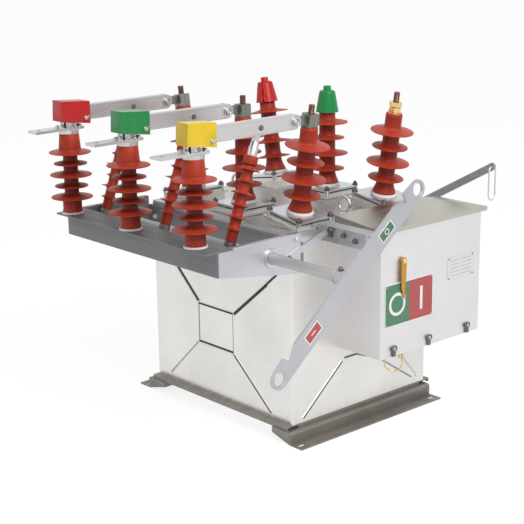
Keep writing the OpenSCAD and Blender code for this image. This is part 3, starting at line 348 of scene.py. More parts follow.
class Shape:
    """Gathers solids, in millimetres, and makes one mesh piece of them."""

    def __init__(self):
        self.bm = bmesh.new()
        self.slots = []
        self.current = 0

    def use(self, look):
        if look not in self.slots:
            self.slots.append(look)
        self.current = self.slots.index(look)
        return self

    def add(self, points, faces, matrix=Matrix()):
        verts = [self.bm.verts.new(matrix @ Vector(p)) for p in points]
        for face in faces:
            made = self.bm.faces.new([verts[i] for i in face])
            made.material_index = self.current
            made.smooth = True

    def lathe(self, profile, matrix=Matrix(), segments=72, wobble=None):
        """Turns a profile of (radius, height) about Z; ends on the axis close it."""
        points = []
        rows = []
        for radius, height in profile:
            if radius < 1e-6:
                rows.append([len(points)])
                points.append((0, 0, height))
                continue
            rows.append(list(range(len(points), len(points) + segments)))
            for k in range(segments):
                angle = 2 * math.pi * k / segments
                r = radius * (wobble(angle, height) if wobble else 1)
                points.append((r * math.cos(angle), r * math.sin(angle), height))
        faces = []
        for lower, upper in zip(rows, rows[1:]):
            below, above = len(lower), len(upper)
            if below == above == 1:
                continue
            for k in range(segments):
                n = (k + 1) % segments
                face = (lower[k % below], lower[n % below], upper[n % above], upper[k % above])
                faces.append(tuple(dict.fromkeys(face)))
        self.add(points, faces, matrix)

    def prism(self, outline, depth, matrix=Matrix()):
        """Closed outline in XY, pushed along +Z."""
        count = len(outline)
        points = [(x, y, 0) for x, y in outline] + [(x, y, depth) for x, y in outline]
        faces = [tuple(reversed(range(count))), tuple(range(count, 2 * count))]
        faces += [(k, (k + 1) % count, count + (k + 1) % count, count + k) for k in range(count)]
        self.add(points, faces, matrix)

    def brick(self, low, high, matrix=Matrix()):
        outline = [(low[0], low[1]), (high[0], low[1]), (high[0], high[1]), (low[0], high[1])]
        self.prism(outline, high[2] - low[2], matrix @ Matrix.Translation((0, 0, low[2])))

    def rod(self, start, end, radius, segments=20):
        start = Vector(start)
        axis = Vector(end) - start
        turn = axis.to_track_quat("Z", "Y").to_matrix().to_4x4()
        length = axis.length
        c = min(0.25 * radius, 0.2 * length)
        profile = [(0, 0), (radius - c, 0), (radius, c)]
        profile += [(radius, length - c), (radius - c, length), (0, length)]
        self.lathe(profile, Matrix.Translation(start) @ turn, segments)

    def ring(self, place, axis, radius, wire, segments=40, sides=12):
        turn = Vector(axis).to_track_quat("Z", "Y").to_matrix().to_4x4()
        matrix = Matrix.Translation(place) @ turn
        points = []
        for k in range(segments):
            a = 2 * math.pi * k / segments
            for j in range(sides):
                b = 2 * math.pi * j / sides
                r = radius + wire * math.cos(b)
                points.append((r * math.cos(a), r * math.sin(a), wire * math.sin(b)))
        faces = []
        for k in range(segments):
            for j in range(sides):
                n, m = (k + 1) % segments, (j + 1) % sides
                faces.append((k * sides + j, n * sides + j, n * sides + m, k * sides + m))
        self.add(points, faces, matrix)

    def hex_bolt(self, place, axis, across=17, head=8, washer=1.6, shank=0):
        """Bolt head with a chamfer on a washer, standing on a face at place."""
        turn = Vector(axis).to_track_quat("Z", "Y").to_matrix().to_4x4()
        matrix = Matrix.Translation(place) @ turn
        flat = across * 0.68
        self.lathe([(0, 0), (flat, 0), (flat, washer), (0, washer)], matrix, 28)
        corner = across / 2 / math.cos(math.pi / 6)
        full = washer + head
        profile = [(0, washer), (corner, washer), (corner, full - 1.2), (corner - 1.5, full), (0, full)]
        self.lathe(profile, matrix @ Matrix.Rotation(0.3, 4, "Z"), 6)
        if shank:
            radius = across * 0.29
            top = full + shank
            profile = [(0, washer), (radius, washer), (radius, top - 1), (radius - 1, top), (0, top)]
            self.lathe(profile, matrix, 20)

    def piece(self, name, body, slot, bevel=0.0, replaces=()):
        mesh = bpy.data.meshes.new(name)
        bmesh.ops.recalc_face_normals(self.bm, faces=self.bm.faces)
        bmesh.ops.scale(self.bm, vec=(0.001, 0.001, 0.001), verts=self.bm.verts)
        self.bm.to_mesh(mesh)
        self.bm.free()
        mesh.set_sharp_from_angle(angle=math.radians(35))
        made = bpy.data.objects.new(name, mesh)
        bpy.context.scene.collection.objects.link(made)
        for look in self.slots:
            mesh.materials.append(MATERIALS[look])
        if bevel:
            edge = made.modifiers.new("bevel", "BEVEL")
            edge.width = bevel / 1000
            edge.segments = 3
            edge.limit_method = "ANGLE"
            edge.angle_limit = math.radians(40)
            edge.harden_normals = True
        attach(made, body)
        if replaces:
            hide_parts(*replaces)
        return made


def shape(look):
    return Shape().use(look)


def axes_matrix(x, y, z, origin):
    """Frame with the given axes and origin."""
    return Matrix((*zip(x, y, z, origin), (0, 0, 0, 1)))


def seat_matrix(side, row):
    """Frame of a bushing: on the cover, leaning outwards for the outer phases."""
    cover_top = span("tank_cover")[1].z
    row_y = (span(f"bushing_{row}_middle")[0].y + span(f"bushing_{row}_middle")[1].y) / 2
    hinge_h = HINGE[1] - cover_top
    x = side * (PITCH - hinge_h * math.tan(TILT))
    lean = Matrix.Translation((x, row_y, cover_top)) @ Matrix.Rotation(side * TILT, 4, "Y")
    return lean @ Matrix.Translation((0, 0, abs(side) * SEAT_LIFT))


def seats():
    """Row, side and frame of every bushing."""
    for row in ("front", "rear"):
        for side in PHASES:
            yield row, side, seat_matrix(side, row)


# takes an outline in XY, with its depth along Z, to the YZ plane with its depth along +X
YZ_PLANE = Matrix(((0, 0, 1, 0), (1, 0, 0, 0), (0, 1, 0, 0), (0, 0, 0, 1)))


# ======== insulators ========

COLLAR_TOP = 40      # bushing foot above the cover
BUSHING_L = 275
STUD_L = 70
CAPPED_STUD_L = 62   # under a coloured cap
STUD_FOOT = Matrix.Translation((0, 0, COLLAR_TOP + BUSHING_L))


def bushings():
    core = 28
    radii = (60, 72, 60, 72)
    first, pitch = 50, 54.3
    profile = [(0, 0), (38, 0), (39, 1), (39, 4), (38, 7), (36, 12)]
    profile += [(33.5, 18), (31.5, 24), (29.6, 31), (28.6, 36)]
    for k, radius in enumerate(radii):
        profile += ring_profile(core, radius, first + k * pitch)
    profile += [(core, BUSHING_L - 12), (core - 0.5, BUSHING_L - 4), (core - 2.5, BUSHING_L - 1)]
    profile += [(core - 5, BUSHING_L), (0, BUSHING_L)]
    for row, side, place in seats():
        name = f"{row}_{SIDES[side + 1]}"
        made = shape("red_silicone")
        made.lathe(profile, place @ Matrix.Translation((0, 0, COLLAR_TOP)), 96)
        made.piece(f"bushing_skin_{name}", "frame", "red_silicone", replaces=[f"bushing_{name}"])


def posts():
    core, end = 23.5, 31
    radii = (68, 54.5, 68, 54.5, 68)
    first, pitch = 55, 37
    for side, name in zip(PHASES, SIDES):
        low, high = span(f"post_insulator_{name}")
        height = high.z - low.z
        profile = [(0, 7), (end + 1, 7), (end + 1.5, 9), (end + 0.8, 12), (end, 14), (end, first - 4)]
        for k, radius in enumerate(radii):
            profile += ring_profile(core, radius, first + k * pitch)[0 if k else 3:]
        top_shed = first + (len(radii) - 1) * pitch
        profile = profile[:-4] + [(38, top_shed + 7.3), (36.6, top_shed + 9), (36, top_shed + 13)]
        profile += [(end + 0.5, height - 2), (end - 1, height), (0, height)]
        place = Matrix.Translation((side * PITCH, (low.y + high.y) / 2, low.z))
        made = shape("red_silicone")
        made.lathe(profile, place, 96)
        made.use("white_collar")
        made.lathe([(0, 0), (35, 0), (37, 1.5), (37, 5), (35, 7.2), (0, 7.2)], place, 64)
        made.piece(f"post_skin_{name}", "frame", "red_silicone", replaces=[f"post_insulator_{name}"])


def pull_rods():
    drive = Vector((0, DRIVE[0], DRIVE[1]))
    crank = Vector((0, CRANK[0], CRANK[1]))
    length = (crank - drive).length
    lean = math.atan2(DRIVE[0] - CRANK[0], DRIVE[1] - CRANK[1])
    top, fork = 87, 50
    core, end = 17, 22
    small, big = 28, 36
    first, pitch = fork - length + 39, 37
    for side, name in zip(PHASES, SIDES):
        place = Matrix.Translation((side * PITCH, DRIVE[0], DRIVE[1])) @ Matrix.Rotation(-lean, 4, "X")
        body = f"rod_{name}"
        made = shape("red_silicone")
        profile = [(0, fork - length), (core - 1, fork - length), (core, fork - length + 2)]
        for k in range(6):
            profile += ring_profile(core, big if k % 2 else small, first + pitch * k, 1.3)
        profile = [p for p in profile if p[1] < -top - 28]
        profile += [(core, -top - 30), (end - 1, -top - 27), (end, -top - 25)]
        profile += [(end, -top - 3), (end - 1, -top), (0, -top)]
        made.lathe(profile, place, 64)
        made.use("plated_steel")
        made.lathe([(0, -top), (15, -top), (15, -60), (13, -57), (13, -46), (11, -43), (0, -43)], place, 32)
        outline = [(-10, -46), (10, -46), (11, -20), (11, 0)]
        outline += arc(11, 30, 30, 5) + [(-11, 0), (-11, -20)]
        made.prism(outline, 10, place @ Matrix.Translation((-5, 0, 0)) @ YZ_PLANE)
        made.use("dark_bolt")
        made.lathe([(0, fork - 16 - length), (17, fork - 16 - length), (18, fork - 15 - length),
                    (18, fork - 1 - length), (17, fork - length), (0, fork - length)], place, 32)
        for cheek in (-1, 1):
            outline = [(-10, 34), (-11, 0)]
            outline += arc(11, 202.5, 22.5, 7) + [(11, 0), (10, 34)]
            shift = Matrix.Translation((cheek * 11.5 - 2.5, 0, -length))
            made.prism(outline, 5, place @ shift @ YZ_PLANE)
            face = place @ Vector((cheek * 14, 0, -length))
            made.hex_bolt(face, (cheek, 0, 0), 13, 4.5, 1.2)
        for cheek in (-1, 1):
            made.hex_bolt(place @ Vector((cheek * 12.2, 0, 0)), (cheek, 0, 0), 13, 3.6, 0.8)
        made.rod(*(place @ Vector((x, 0, 0)) for x in (-12.5, 12.5)), 5)
        made.piece(f"pull_rod_skin_{name}", body, "red_silicone", replaces=[f"pull_rod_{name}"])


# ======== bushing flanges and terminals ========

def flange_bolts():
    """Corner bolts through each flange plate, with bright spacer sleeves."""
    made = Shape()
    inset = FLANGE_W / 2 - 6
    for *_, place in seats():
        up = place.to_3x3() @ Vector((0, 0, 1))
        for dx in (-inset, inset):
            for dy in (-inset, inset):
                top = place @ Vector((dx, dy, SEAT_H + FLANGE_T))
                made.use("dark_bolt")
                made.hex_bolt(top, up, 16, 7, 1.6, 5)
                made.use("plated_steel")
                made.rod(place @ Vector((dx, dy, 6)), top, 8.5)
    made.piece("flange_bolts", "frame", "plated_steel")


def flange_stack():
    """Wide clamping plate and dark gasket under each flange."""
    made = shape("gasket_rubber")
    half = FLANGE_W / 2 - 1
    wide = FLANGE_W / 2 + 9
    for *_, place in seats():
        made.use("gasket_rubber")
        made.brick((-half, -half, 10), (half, half, SEAT_H), place)
        made.use("polished_stainless")
        made.brick((-wide, -wide, 2), (wide, wide, 10), place)
    made.piece("flange_stack", "frame", "polished_stainless", replaces=["flange_gaskets"])


def flange_plates():
    made = shape("flange_steel")
    half = FLANGE_W / 2
    for *_, place in seats():
        made.brick((-half, -half, SEAT_H), (half, half, SEAT_H + FLANGE_T), place)
    made.piece("flange_plates", "frame", "flange_steel", bevel=1.2, replaces=["bushing_flanges"])


def collars():
    made = shape("white_collar")
    profile = [(0, 0), (43, 0), (44, 1), (44, 6), (42.8, 8.4), (41, 9), (0, 9)]
    for *_, place in seats():
        made.lathe(profile, place @ Matrix.Translation((0, 0, SEAT_H + FLANGE_T)), 72)
    made.piece("collar_rings", "frame", "white_collar", replaces=["bushing_collars"])


def thread(radius, length, pitch=2.5, depth=0.9):
    """Profile of a threaded rod with a chamfered end."""
    points = [(0, 0), (radius, 0)]
    turns = int((length - 6) / pitch)
    for k in range(turns):
        points += [(radius - depth, 3 + k * pitch), (radius, 3 + (k + 0.5) * pitch)]
    return points + [(radius, length - 2), (radius - 2, length), (0, length)]


def studs():
    made = shape("copper_stud")
    for row, side, place in seats():
        capped = row == "rear" and side < 1
        profile = thread(10, CAPPED_STUD_L if capped else STUD_L)
        made.lathe(profile, place @ STUD_FOOT, 28)
    made.piece("threaded_studs", "frame", "copper_stud", replaces=["terminal_studs"])


def brass_nuts():
    made = shape("brass")
    place = seat_matrix(1, "rear") @ STUD_FOOT
    corner = 19 / math.cos(math.pi / 6)
    made.lathe([(10.4, 0), (22, 0), (22, 3), (10.4, 3)], place, 40)
    for low, high, turn in ((3, 20, 0.1), (21, 38, 0.5)):
        profile = [(10.4, low), (corner - 3, low), (corner, low + 2)]
        profile += [(corner, high - 2), (corner - 3, high), (10.4, high)]
        made.lathe(profile, place @ Matrix.Rotation(turn, 4, "Z"), 6)
    made.piece("double_nut", "frame", "brass", bevel=0.6, replaces=["stud_nuts"])


def terminal_caps():
    """Conical covers; the red one has a slit with lips down its front."""
    slit_at = math.radians(-60)

    def slit(angle, height):
        gap = abs((angle - slit_at + math.pi) % (2 * math.pi) - math.pi)
        wave = 0.06 * math.sin(height / 5.5)
        gap = abs(gap - wave)
        if gap < 0.06:
            return 0.86
        return 1.03 if gap < 0.16 else 1.0

    profile = [(36.4, -26), (38.8, -26), (39.4, -25), (38.4, -18)]
    profile += [(28.2, 39), (27, 43.6), (24.5, 46.6), (22, 48)]
    profile += [(16, 48.4), (14, 49.4), (13.3, 51), (13.2, 61), (12.4, 63.4), (10.5, 64), (0, 64)]
    for name, side, warp in (("red", -1, slit), ("green", 0, None)):
        place = seat_matrix(side, "rear") @ STUD_FOOT
        made = shape(f"{name}_cap")
        fine = [(38.4 - 10.2 * k / 12, -18 + 57 * k / 12) for k in range(12)]
        full = profile[:3] + fine + profile[4:]
        lower = [(34, -24), (28.5, 0), (28.5, 0.5)]
        made.lathe([(0, 0.5)] + list(reversed(lower)) + full, place, 180 if warp else 96, warp)
        made.piece(f"terminal_cover_{name}", "frame", f"{name}_cap", replaces=[f"terminal_cap_{name}"])


def clamps():
    """Split zinc clamp blocks with the ears, pins and washers of the blade hinges."""
    made = shape("zinc_block")
    pins = shape("plated_steel")
    for side in PHASES:
        place = seat_matrix(side, "front") @ STUD_FOOT
        made.use("zinc_block")
        for cheek in (-1, 1):
            near, far = sorted((0.9 * cheek, 19 * cheek))
            made.brick((near, -21, 0), (far, 19, 42), place)
        # painted shade: a near-black sheet in the split between the two clamp halves
        made.use("painted_shade_dark")
        made.brick((-19.2, -4, 2), (19.2, -2.4, 40), place)
        made.use("zinc_block")
        x = side * PITCH
        made.brick((x - 5, HINGE[0], HINGE[1] - 14), (x + 5, -215, HINGE[1] + 14))
        made.rod((x - 5, HINGE[0], HINGE[1]), (x + 5, HINGE[0], HINGE[1]), 16, 40)
        pins.rod((x - 18, HINGE[0], HINGE[1]), (x + 18, HINGE[0], HINGE[1]), 6)
        for cheek in (-1, 1):
            face = Vector((x + cheek * 12.4, HINGE[0], HINGE[1]))
            pins.ring(face + Vector((cheek * 1.6, 0, 0)), (1, 0, 0), 12.5, 1.9)
            pins.ring(face + Vector((cheek * 3.4, 1.5, 1)), (1, 0.1, 0.1), 9.5, 1.6)
            pins.hex_bolt(face, (cheek, 0, 0), 13, 4, 1.2)
    made.piece("clamp_bodies", "frame", "silvered_copper", bevel=1.0, replaces=["clamp_blocks"])
    pins.piece("hinge_pins", "frame", "plated_steel")


def blade_details():
    """Beads along the edges of each blade and the ring round its hinge."""
    for side, name in zip(PHASES, SIDES):
        low, high = span(f"knife_blade_{name}")
        x = side * PITCH
        made = shape("silvered_copper")
        for cheek in (-1, 1):
            face = x + cheek * 12
            for z in (low.z + 3.2, high.z - 3.2):
                made.rod((face, low.y + 96, z), (face, HINGE[0] - 6, z), 1.5, 10)
        made.use("plated_steel")
        for cheek in (-1, 1):
            face = x + cheek * 12
            made.ring((face + cheek * 0.6, HINGE[0], HINGE[1]), (1, 0, 0), 19, 0.9)
        made.piece(f"blade_fittings_{name}", f"blade_{name}", "silvered_copper")


def hoods():
    """Moulded contact covers with a wing screw low at the rear of the outer face."""
    looks = ("red_cap", "green_cap", "yellow_cap")
    for side, name, look in zip(PHASES, SIDES, looks):
        low, high = span(f"contact_hood_{name}")
        x = side * PITCH
        made = shape(look)
        y0, y1 = low.y, high.y
        base = low.z
        back_top = base + 73
        outline = [(y0, base + 15), (y1, base), (y1, back_top - 0.5), (y1 - 2, back_top), (y0 + 3, high.z)]
        wall = 3
        half = (high.x - low.x) / 2
        for cheek in (-1, 1):
            shift = x + (half - wall if cheek > 0 else -half)
            made.prism(outline, wall, Matrix.Translation((shift, 0, 0)) @ YZ_PLANE)
        inner = 2 * half - 2 * wall
        shift = Matrix.Translation((x - half + wall, 0, 0)) @ YZ_PLANE
        front = [(y0, base + 15), (y0 + wall, base + 15), (y0 + wall + 3, high.z), (y0 + 3, high.z)]
        roof = [(y0 + 3, high.z - wall), (y1 - 2, back_top - wall), (y1 - 2, back_top), (y0 + 3, high.z)]
        for outline in (front, roof):
            made.prism(outline, inner, shift)
        for cheek in (-1, 1):
            near, far = sorted((x + cheek * 12.4, x + cheek * (half - wall + 0.5)))
            made.brick((near, y1 - 12, base + 2), (far, y1 - 0.4, base + 71))
        made.use("plated_steel")
        face = Vector((x + half, y1 - 17, base + 20))
        made.rod(face, face + Vector((10, 0, 0)), 4)
        washer = Matrix.Translation(face) @ Matrix.Rotation(math.pi / 2, 4, "Y")
        made.lathe([(0, 0), (7.5, 0), (7.5, 2), (0, 2)], washer, 24)
        for way in (-1, 1):
            tip = face + Vector((9, way * 8, way * 6 + 3))
            made.rod(face + Vector((5, 0, 0)), tip, 2.6, 12)
        node = f"contact_hood_{name}"
        made.piece(f"contact_cover_{name}", f"blade_{name}", look, bevel=1.3, replaces=[node])


def post_tops():
    """Cast cap, spring-loaded jaws and bolts between a post and its blade."""
    made = shape("plated_steel")
    for side, name in zip(PHASES, SIDES):
        low, high = span(f"post_insulator_{name}")
        y = (low.y + high.y) / 2
        x = side * PITCH
        bar_top = high.z + POST_CAP_T + BAR_T
        made.use("plated_steel")
        made.lathe([(0, -6), (31.5, -6), (33, -4), (33, 0), (0, 0)], Matrix.Translation((x, y, high.z)), 48)
        for cheek in (-1, 1):
            made.brick((x + cheek * 17 - 3, y - 19, bar_top), (x + cheek * 17 + 3, y + 19, bar_top + 24))
            made.hex_bolt((x + cheek * 20, y - 8, bar_top + 6), (cheek, 0, 0), 10, 4, 1)
            for out, back in ((17, 31), (15, -34)):
                made.hex_bolt((x + cheek * out, y + back, bar_top), (0, 0, 1), 12, 5, 1.4)
            for k in range(3):
                made.ring((x + cheek * (22 + 1.9 * k), y + 9, bar_top + 6.5), (1, 0, 0), 4.6, 0.9, 24, 8)
        made.use("zinc_block")
        made.brick((x - 14, y + 22, bar_top), (x + 14, y + 40, bar_top + 6))
    made.piece("contact_jaws", "frame", "plated_steel")


# ======== tank ========

def crease(made, start, end, normal, width, dark=True):
    """Pressed line on a face: a strip of painted shade beside a bright rounded lip."""
    start, end, normal = Vector(start), Vector(end), Vector(normal)
    along = (end - start).normalized()
    across = along.cross(normal)
    length = (end - start).length
    place = axes_matrix(across, along, normal, start)
    # the strip of painted shade lies 0.5 mm proud of the face; no recess is cut
    made.use("painted_shade_dark" if dark else "painted_shade_grey")
    shade_width = (0.6 if dark else 0.45) * width
    made.prism([(0, 0), (shade_width, 0), (shade_width, length), (0, length)], 0.5, place)
    made.use("polished_stainless")
    lip = 0.5 * width
    arc = [(-lip, 0), (-0.8 * lip, 0.8), (-0.5 * lip, 1.5), (-0.2 * lip, 1.6), (0, 0)]
    across_section = Matrix(((1, 0, 0, 0), (0, 0, 1, 0), (0, 1, 0, 0), (0, 0, 0, 1)))
    made.prism(arc, length, place @ across_section)


def tank_creases():
    """Centre rectangle and four diagonals pressed into each side of the tank."""
    made = Shape()
    low, high = span("tank_body")
    left, right, bottom, top = -111, 70, 231, 372
    rectangle = [(left, top), (right, top), (right, bottom), (left, bottom)]
    corners = [(-221, 472, -340, 600), (236, 508, 350, 604), (255, 74, 255, 74), (-273, 78, -273, 78)]

    def front(u, z, sign=1):
        return (sign * u, sign * low.y, z)

    for sign in (1, -1):
        normal = (0, -sign, 0)
        for k in range(4):
            a, b = rectangle[k], rectangle[(k + 1) % 4]
            crease(made, front(*a, sign), front(*b, sign), normal, 11 if k in (0, 2) else 8, k in (0, 2))
        for corner, ends, width, dark in zip(rectangle, corners, (17, 17, 11, 8), (True, True, True, False)):
            middle, tip = ends[:2], ends[2:]
            crease(made, front(*corner, sign), front(*middle, sign), normal, width, dark)
            if tip != middle:
                crease(made, front(*middle, sign), front(*tip, sign), normal, 0.7 * width, dark)

    def flank(v, z, sign=1):
        return (sign * high.x, sign * v, z)

    # ends in Y and Z, width and tone of the painted shade; the mechanism box covers the upper half on the
    # right
    lines = [(-80, 232, -24, 232, 9, True), (-269, 69, -92, 222, 9, True),
             (-24, 232, 27, 212, 7, True), (250, 80, 60, 205, 6, False)]
    hidden_lines = [(-80, 372, 60, 372, 9, True), (-80, 372, -250, 560, 9, True),
                    (60, 372, 240, 560, 9, True), (-88, 240, -88, 364, 6, False),
                    (66, 240, 66, 364, 6, False)]
    for sign in (1, -1):
        normal = (sign, 0, 0)
        for y0, z0, y1, z1, width, dark in lines if sign > 0 else lines + hidden_lines:
            crease(made, flank(y0, z0, sign), flank(y1, z1, sign), normal, width, dark)
    made.piece("tank_creases", "frame", "polished_stainless")


def tank_studs():
    """Bolts with washers on the tank's flanks and a patch plate high on its front."""
    made = shape("plated_steel")
    low, high = span("tank_body")
    for y, z in ((-180, 352), (-206, 392)):
        made.hex_bolt((high.x, y, z), (1, 0, 0), 13, 6, 2, 3)
        made.hex_bolt((low.x, -y, z), (-1, 0, 0), 13, 6, 2, 3)
    made.use("polished_stainless")
    made.brick((196, low.y - 1.5, 578), (232, low.y, 614))   # patch plate high on the front
    made.piece("tank_studs", "frame", "plated_steel")


def lifting_feet():
    made = shape("plated_steel")
    top = span("tank_cover")[1].z
    profile = [(0, 0), (17, 0), (17, 3), (13, 7), (9, 9), (0, 9)]
    for x in (-LIFT_X, LIFT_X):
        made.lathe(profile, Matrix.Translation((x, 0, top)), 36)
        made.rod((x, 0, top + 8), (x, 0, top + 14), 8)
    made.piece("lifting_feet", "frame", "plated_steel")


# ======== switch tray, shaft and lever ========

def tray_details():
    """Rolled edge of the right arm, post bolts below the tray, bolts on the right arm and on the back."""
    made = shape("arm_steel")
    high = span("tray_front")[1]
    arm_high = span("tray_arm_right")[1]
    post_y = [corner.y for corner in span("post_insulator_middle")]
    made.rod((arm_high.x - 1, high.y, high.z - 1), (arm_high.x - 1, arm_high.y, high.z - 1), 2.0, 12)
    made.use("plated_steel")
    for side in PHASES:
        made.hex_bolt((side * PITCH, sum(post_y) / 2 + 30, high.z - 5), (0, 0, -1), 17, 8, 2, 5)
    for y, z in ((-350, 690), (-350, 610)):
        made.hex_bolt((arm_high.x, y, z), (1, 0, 0), 13, 6, 1.6, 2)
    for x in (-PITCH, -80, 80, PITCH):
        made.hex_bolt((x, span("tray_back")[0].y, 640), (0, -1, 0), 15, 7, 2, 3)
    made.piece("tray_fittings", "frame", "brushed_stainless")


def strut_bolts():
    made = shape("dark_bolt")
    low, high = span("support_strut")
    for y, z in ((low.y + 8, low.z + 8), (high.y - 8, high.z - 8)):
        made.hex_bolt((high.x, y, z), (1, 0, 0), 14, 7, 2, 6)
    bracket_low, bracket_high = span("lever_bracket")
    for offset, z in ((60, -25), (116, -18), (165, -28)):
        made.hex_bolt((bracket_low.x + offset, bracket_low.y, bracket_high.z + z), (0, -1, 0), 14, 7, 2, 5)
    made.piece("strut_bolts", "frame", "plated_steel")


def shaft_details():
    """Clamp bolt and collar near the lever, hub welds beside the cranks."""
    made = shape("dark_bolt")
    y, z = SHAFT
    made.hex_bolt((705, y, z + 20), (0, -0.3, 1), 13, 7, 2, 4)
    made.use("shaft_steel")
    for side in PHASES:
        for edge in (-1, 1):
            x = side * PITCH + edge * 7
            made.ring((x, y, z), (1, 0, 0), 19, 2.2)
    for x in (420, 690, 727):
        made.ring((x, y, z), (1, 0, 0), 18 if x < 500 else 21.4, 1.6)
    made.use("plated_steel")
    for side in PHASES:
        for edge in (-1, 1):
            made.hex_bolt((side * PITCH + edge * 4, CRANK[0], CRANK[1]), (edge, 0, 0), 12, 1.2, 0.6)
    made.piece("shaft_fittings", "drive", "shaft_steel")


def lever_matrix(offset):
    """Frame with local X along the lever, Y across it to its rear edge, Z outwards."""
    along = Vector((0, math.cos(LEVER_ANGLE), math.sin(LEVER_ANGLE)))
    across = Vector((0, -math.sin(LEVER_ANGLE), math.cos(LEVER_ANGLE)))
    out = Vector((1, 0, 0))
    origin = Vector((span("operating_lever")[1].x + offset, SHAFT[0], SHAFT[1]))
    return axes_matrix(along, across, out, origin)


def open_symbol(made, place, x, y, radius, stroke, depth):
    """A plain O, as a turned ring."""
    inner = radius - stroke
    made.lathe([(inner, 0), (radius, 0), (radius, depth), (inner, depth), (inner, 0)],
               place @ Matrix.Translation((x, y, 0)), 48)


def bar_symbol(made, place, x, y, height, stroke, depth, turn=0.0):
    """A plain I."""
    bar = place @ Matrix.Translation((x, y, 0)) @ Matrix.Rotation(turn, 4, "Z")
    made.brick((-stroke / 2, -height / 2, 0), (stroke / 2, height / 2, depth), bar)


def lever_plates():
    """Enamelled plates: white border, coloured field and a plain symbol."""
    made = shape("white_enamel")
    place = lever_matrix(0)
    length, width, mid, inner_end = 65, 34, -7.5, 157
    for start, look in ((inner_end, "label_green"), (-inner_end - length, "red_enamel")):
        made.use("white_enamel")
        end, low, high = start + length, mid - width / 2, mid + width / 2
        made.brick((start, low, 0), (end, high, 0.6), place)
        made.use(look)
        made.brick((start + 3, low + 3, 0.6), (end - 3, high - 3, 0.8), place)
        made.use("white_enamel")
        centre = start + length / 2
        raised = place @ Matrix.Translation((0, 0, 0.7))
        if look == "label_green":
            open_symbol(made, raised, centre, mid, 9.5, 2.6, 0.3)
        else:
            bar_symbol(made, raised, centre, mid, 19, 3.2, 0.3, math.pi / 2)
    made.piece("lever_plates", "drive", "enamel_plate", replaces=["lever_labels"])


def lever_rims():
    """Rounded rims of the lever's eyes."""
    made = shape("lever_steel")
    place = lever_matrix(0)
    eye_out, eye_drop = 356, 10
    for end in (-eye_out, eye_out):
        for back in (-1.2, -6.8):
            made.ring(place @ Vector((end, -eye_drop, back)), (1, 0, 0), 21.5, 2.1, 48, 10)
    made.piece("lever_rims", "drive", "brushed_stainless")


# ======== mechanism box ========

def box_details():
    """Folded edges and door seam of the mechanism box and its lid."""
    low, high = span("mechanism_box")
    lid_low, lid_high = span("mechanism_lid")
    made = shape("box_steel")
    fold = high.x - 1.2
    for y in (low.y + 1, high.y - 1):
        made.rod((fold, y, low.z), (fold, y, high.z), 2.2, 12)
    made.rod((fold, low.y, low.z + 1), (fold, high.y, low.z + 1), 2.2, 12)
    made.use("lid_steel")
    edge_z = lid_low.z + 7
    made.rod((lid_high.x - 1.5, lid_low.y, edge_z), (lid_high.x - 1.5, lid_high.y, edge_z), 2.4, 12)
    # painted shade: a dark strip for the shadow line along the door seam under the lid
    made.use("painted_shade_dark")
    made.brick((high.x - 0.2, low.y + 6, high.z - 5), (high.x + 0.4, high.y - 6, high.z - 2.5))
    made.piece("box_edges", "frame", "brushed_stainless")


def plate_frame(node):
    """Width and height of a plate on the box, and the frame of its lower corner."""
    low, high = span(node)
    return high.y - low.y, high.z - low.z, Matrix.Translation(low) @ YZ_PLANE


def rivets(made, place, width, height, inset, profile):
    for y in (inset, width - inset):
        for z in (inset, height - inset):
            made.lathe(profile, place @ Matrix.Translation((y, z, 0)), 16)


def position_sign():
    """Two-colour plate: green with an O on the left, red with an I on the right."""
    width, height, place = plate_frame("position_plate")
    made = shape("white_enamel")
    made.brick((0, 0, 0), (width, height, 1.5), place)
    half = width / 2
    border = 3
    for start, end, look in ((border, half, "green_enamel"), (half, width - border, "red_enamel")):
        made.use(look)
        made.brick((start, border, 1.5), (end, height - border, 1.9), place)
    made.use("white_enamel")
    raised = place @ Matrix.Translation((0, 0, 1.9))
    open_symbol(made, raised, half / 2, height / 2, 38, 10, 0.3)
    bar_symbol(made, raised, half * 1.5, height / 2, 78, 12, 0.3)
    made.use("plated_steel")
    rivets(made, place, width, height, 7, [(0, 1.9), (2.6, 1.9), (1.8, 3.2), (0, 3.6)])
    made.piece("position_sign", "frame", "enamel_plate", replaces=["position_plate"])


def rating_plate():
    """Bare etched plate with ruled lines and four rivets."""
    width, height, place = plate_frame("nameplate")
    made = shape("etched_plate")
    made.brick((0, 0, 0), (width, height, 1.2), place)
    made.use("dark_bolt")
    for row in range(5):
        z = 14 + row * (height - 28) / 4
        for start, end in ((12, 0.42 * width), (0.5 * width, width - 12)):
            made.brick((start, z, 1.2), (end, z + 0.8, 1.4), place)
    rivets(made, place, width, height, 6, [(0, 1.2), (3, 1.2), (2.2, 2.6), (0, 3)])
    made.piece("rating_plate", "frame", "etched_plate", bevel=0.2, replaces=["nameplate"])


def pointer():
    """Folded pointer with a bolted head and a bent arrow tip."""
    x = span("position_pointer")[0].x + 7
    y, z = PIN
    made = shape("amber")
    face = Matrix.Translation((x, y, z)) @ YZ_PLANE
    main = [(-12.5, 0), (-12.5, -84), (-6, -104), (-3, -118), (9, -126)]
    main += [(12, -112), (4, -106), (5, -92), (9, -78), (12.5, 0)]
    main += arc(12.5, 15, 15, 11)
    made.prism(main, 2.2, face)
    made.prism([(-12.5, -2), (-12.5, -82), (-10.5, -82), (-10.5, -2)], 6, face)
    made.use("brass")
    made.hex_bolt((x + 2.2, y, z), (1, 0, 0), 13, 4, 1.4)
    made.rod((x - 7, y, z), (x + 2, y, z), 5)
    made.piece("pointer_arm", "pointer", "brass", bevel=0.5, replaces=["position_pointer"])


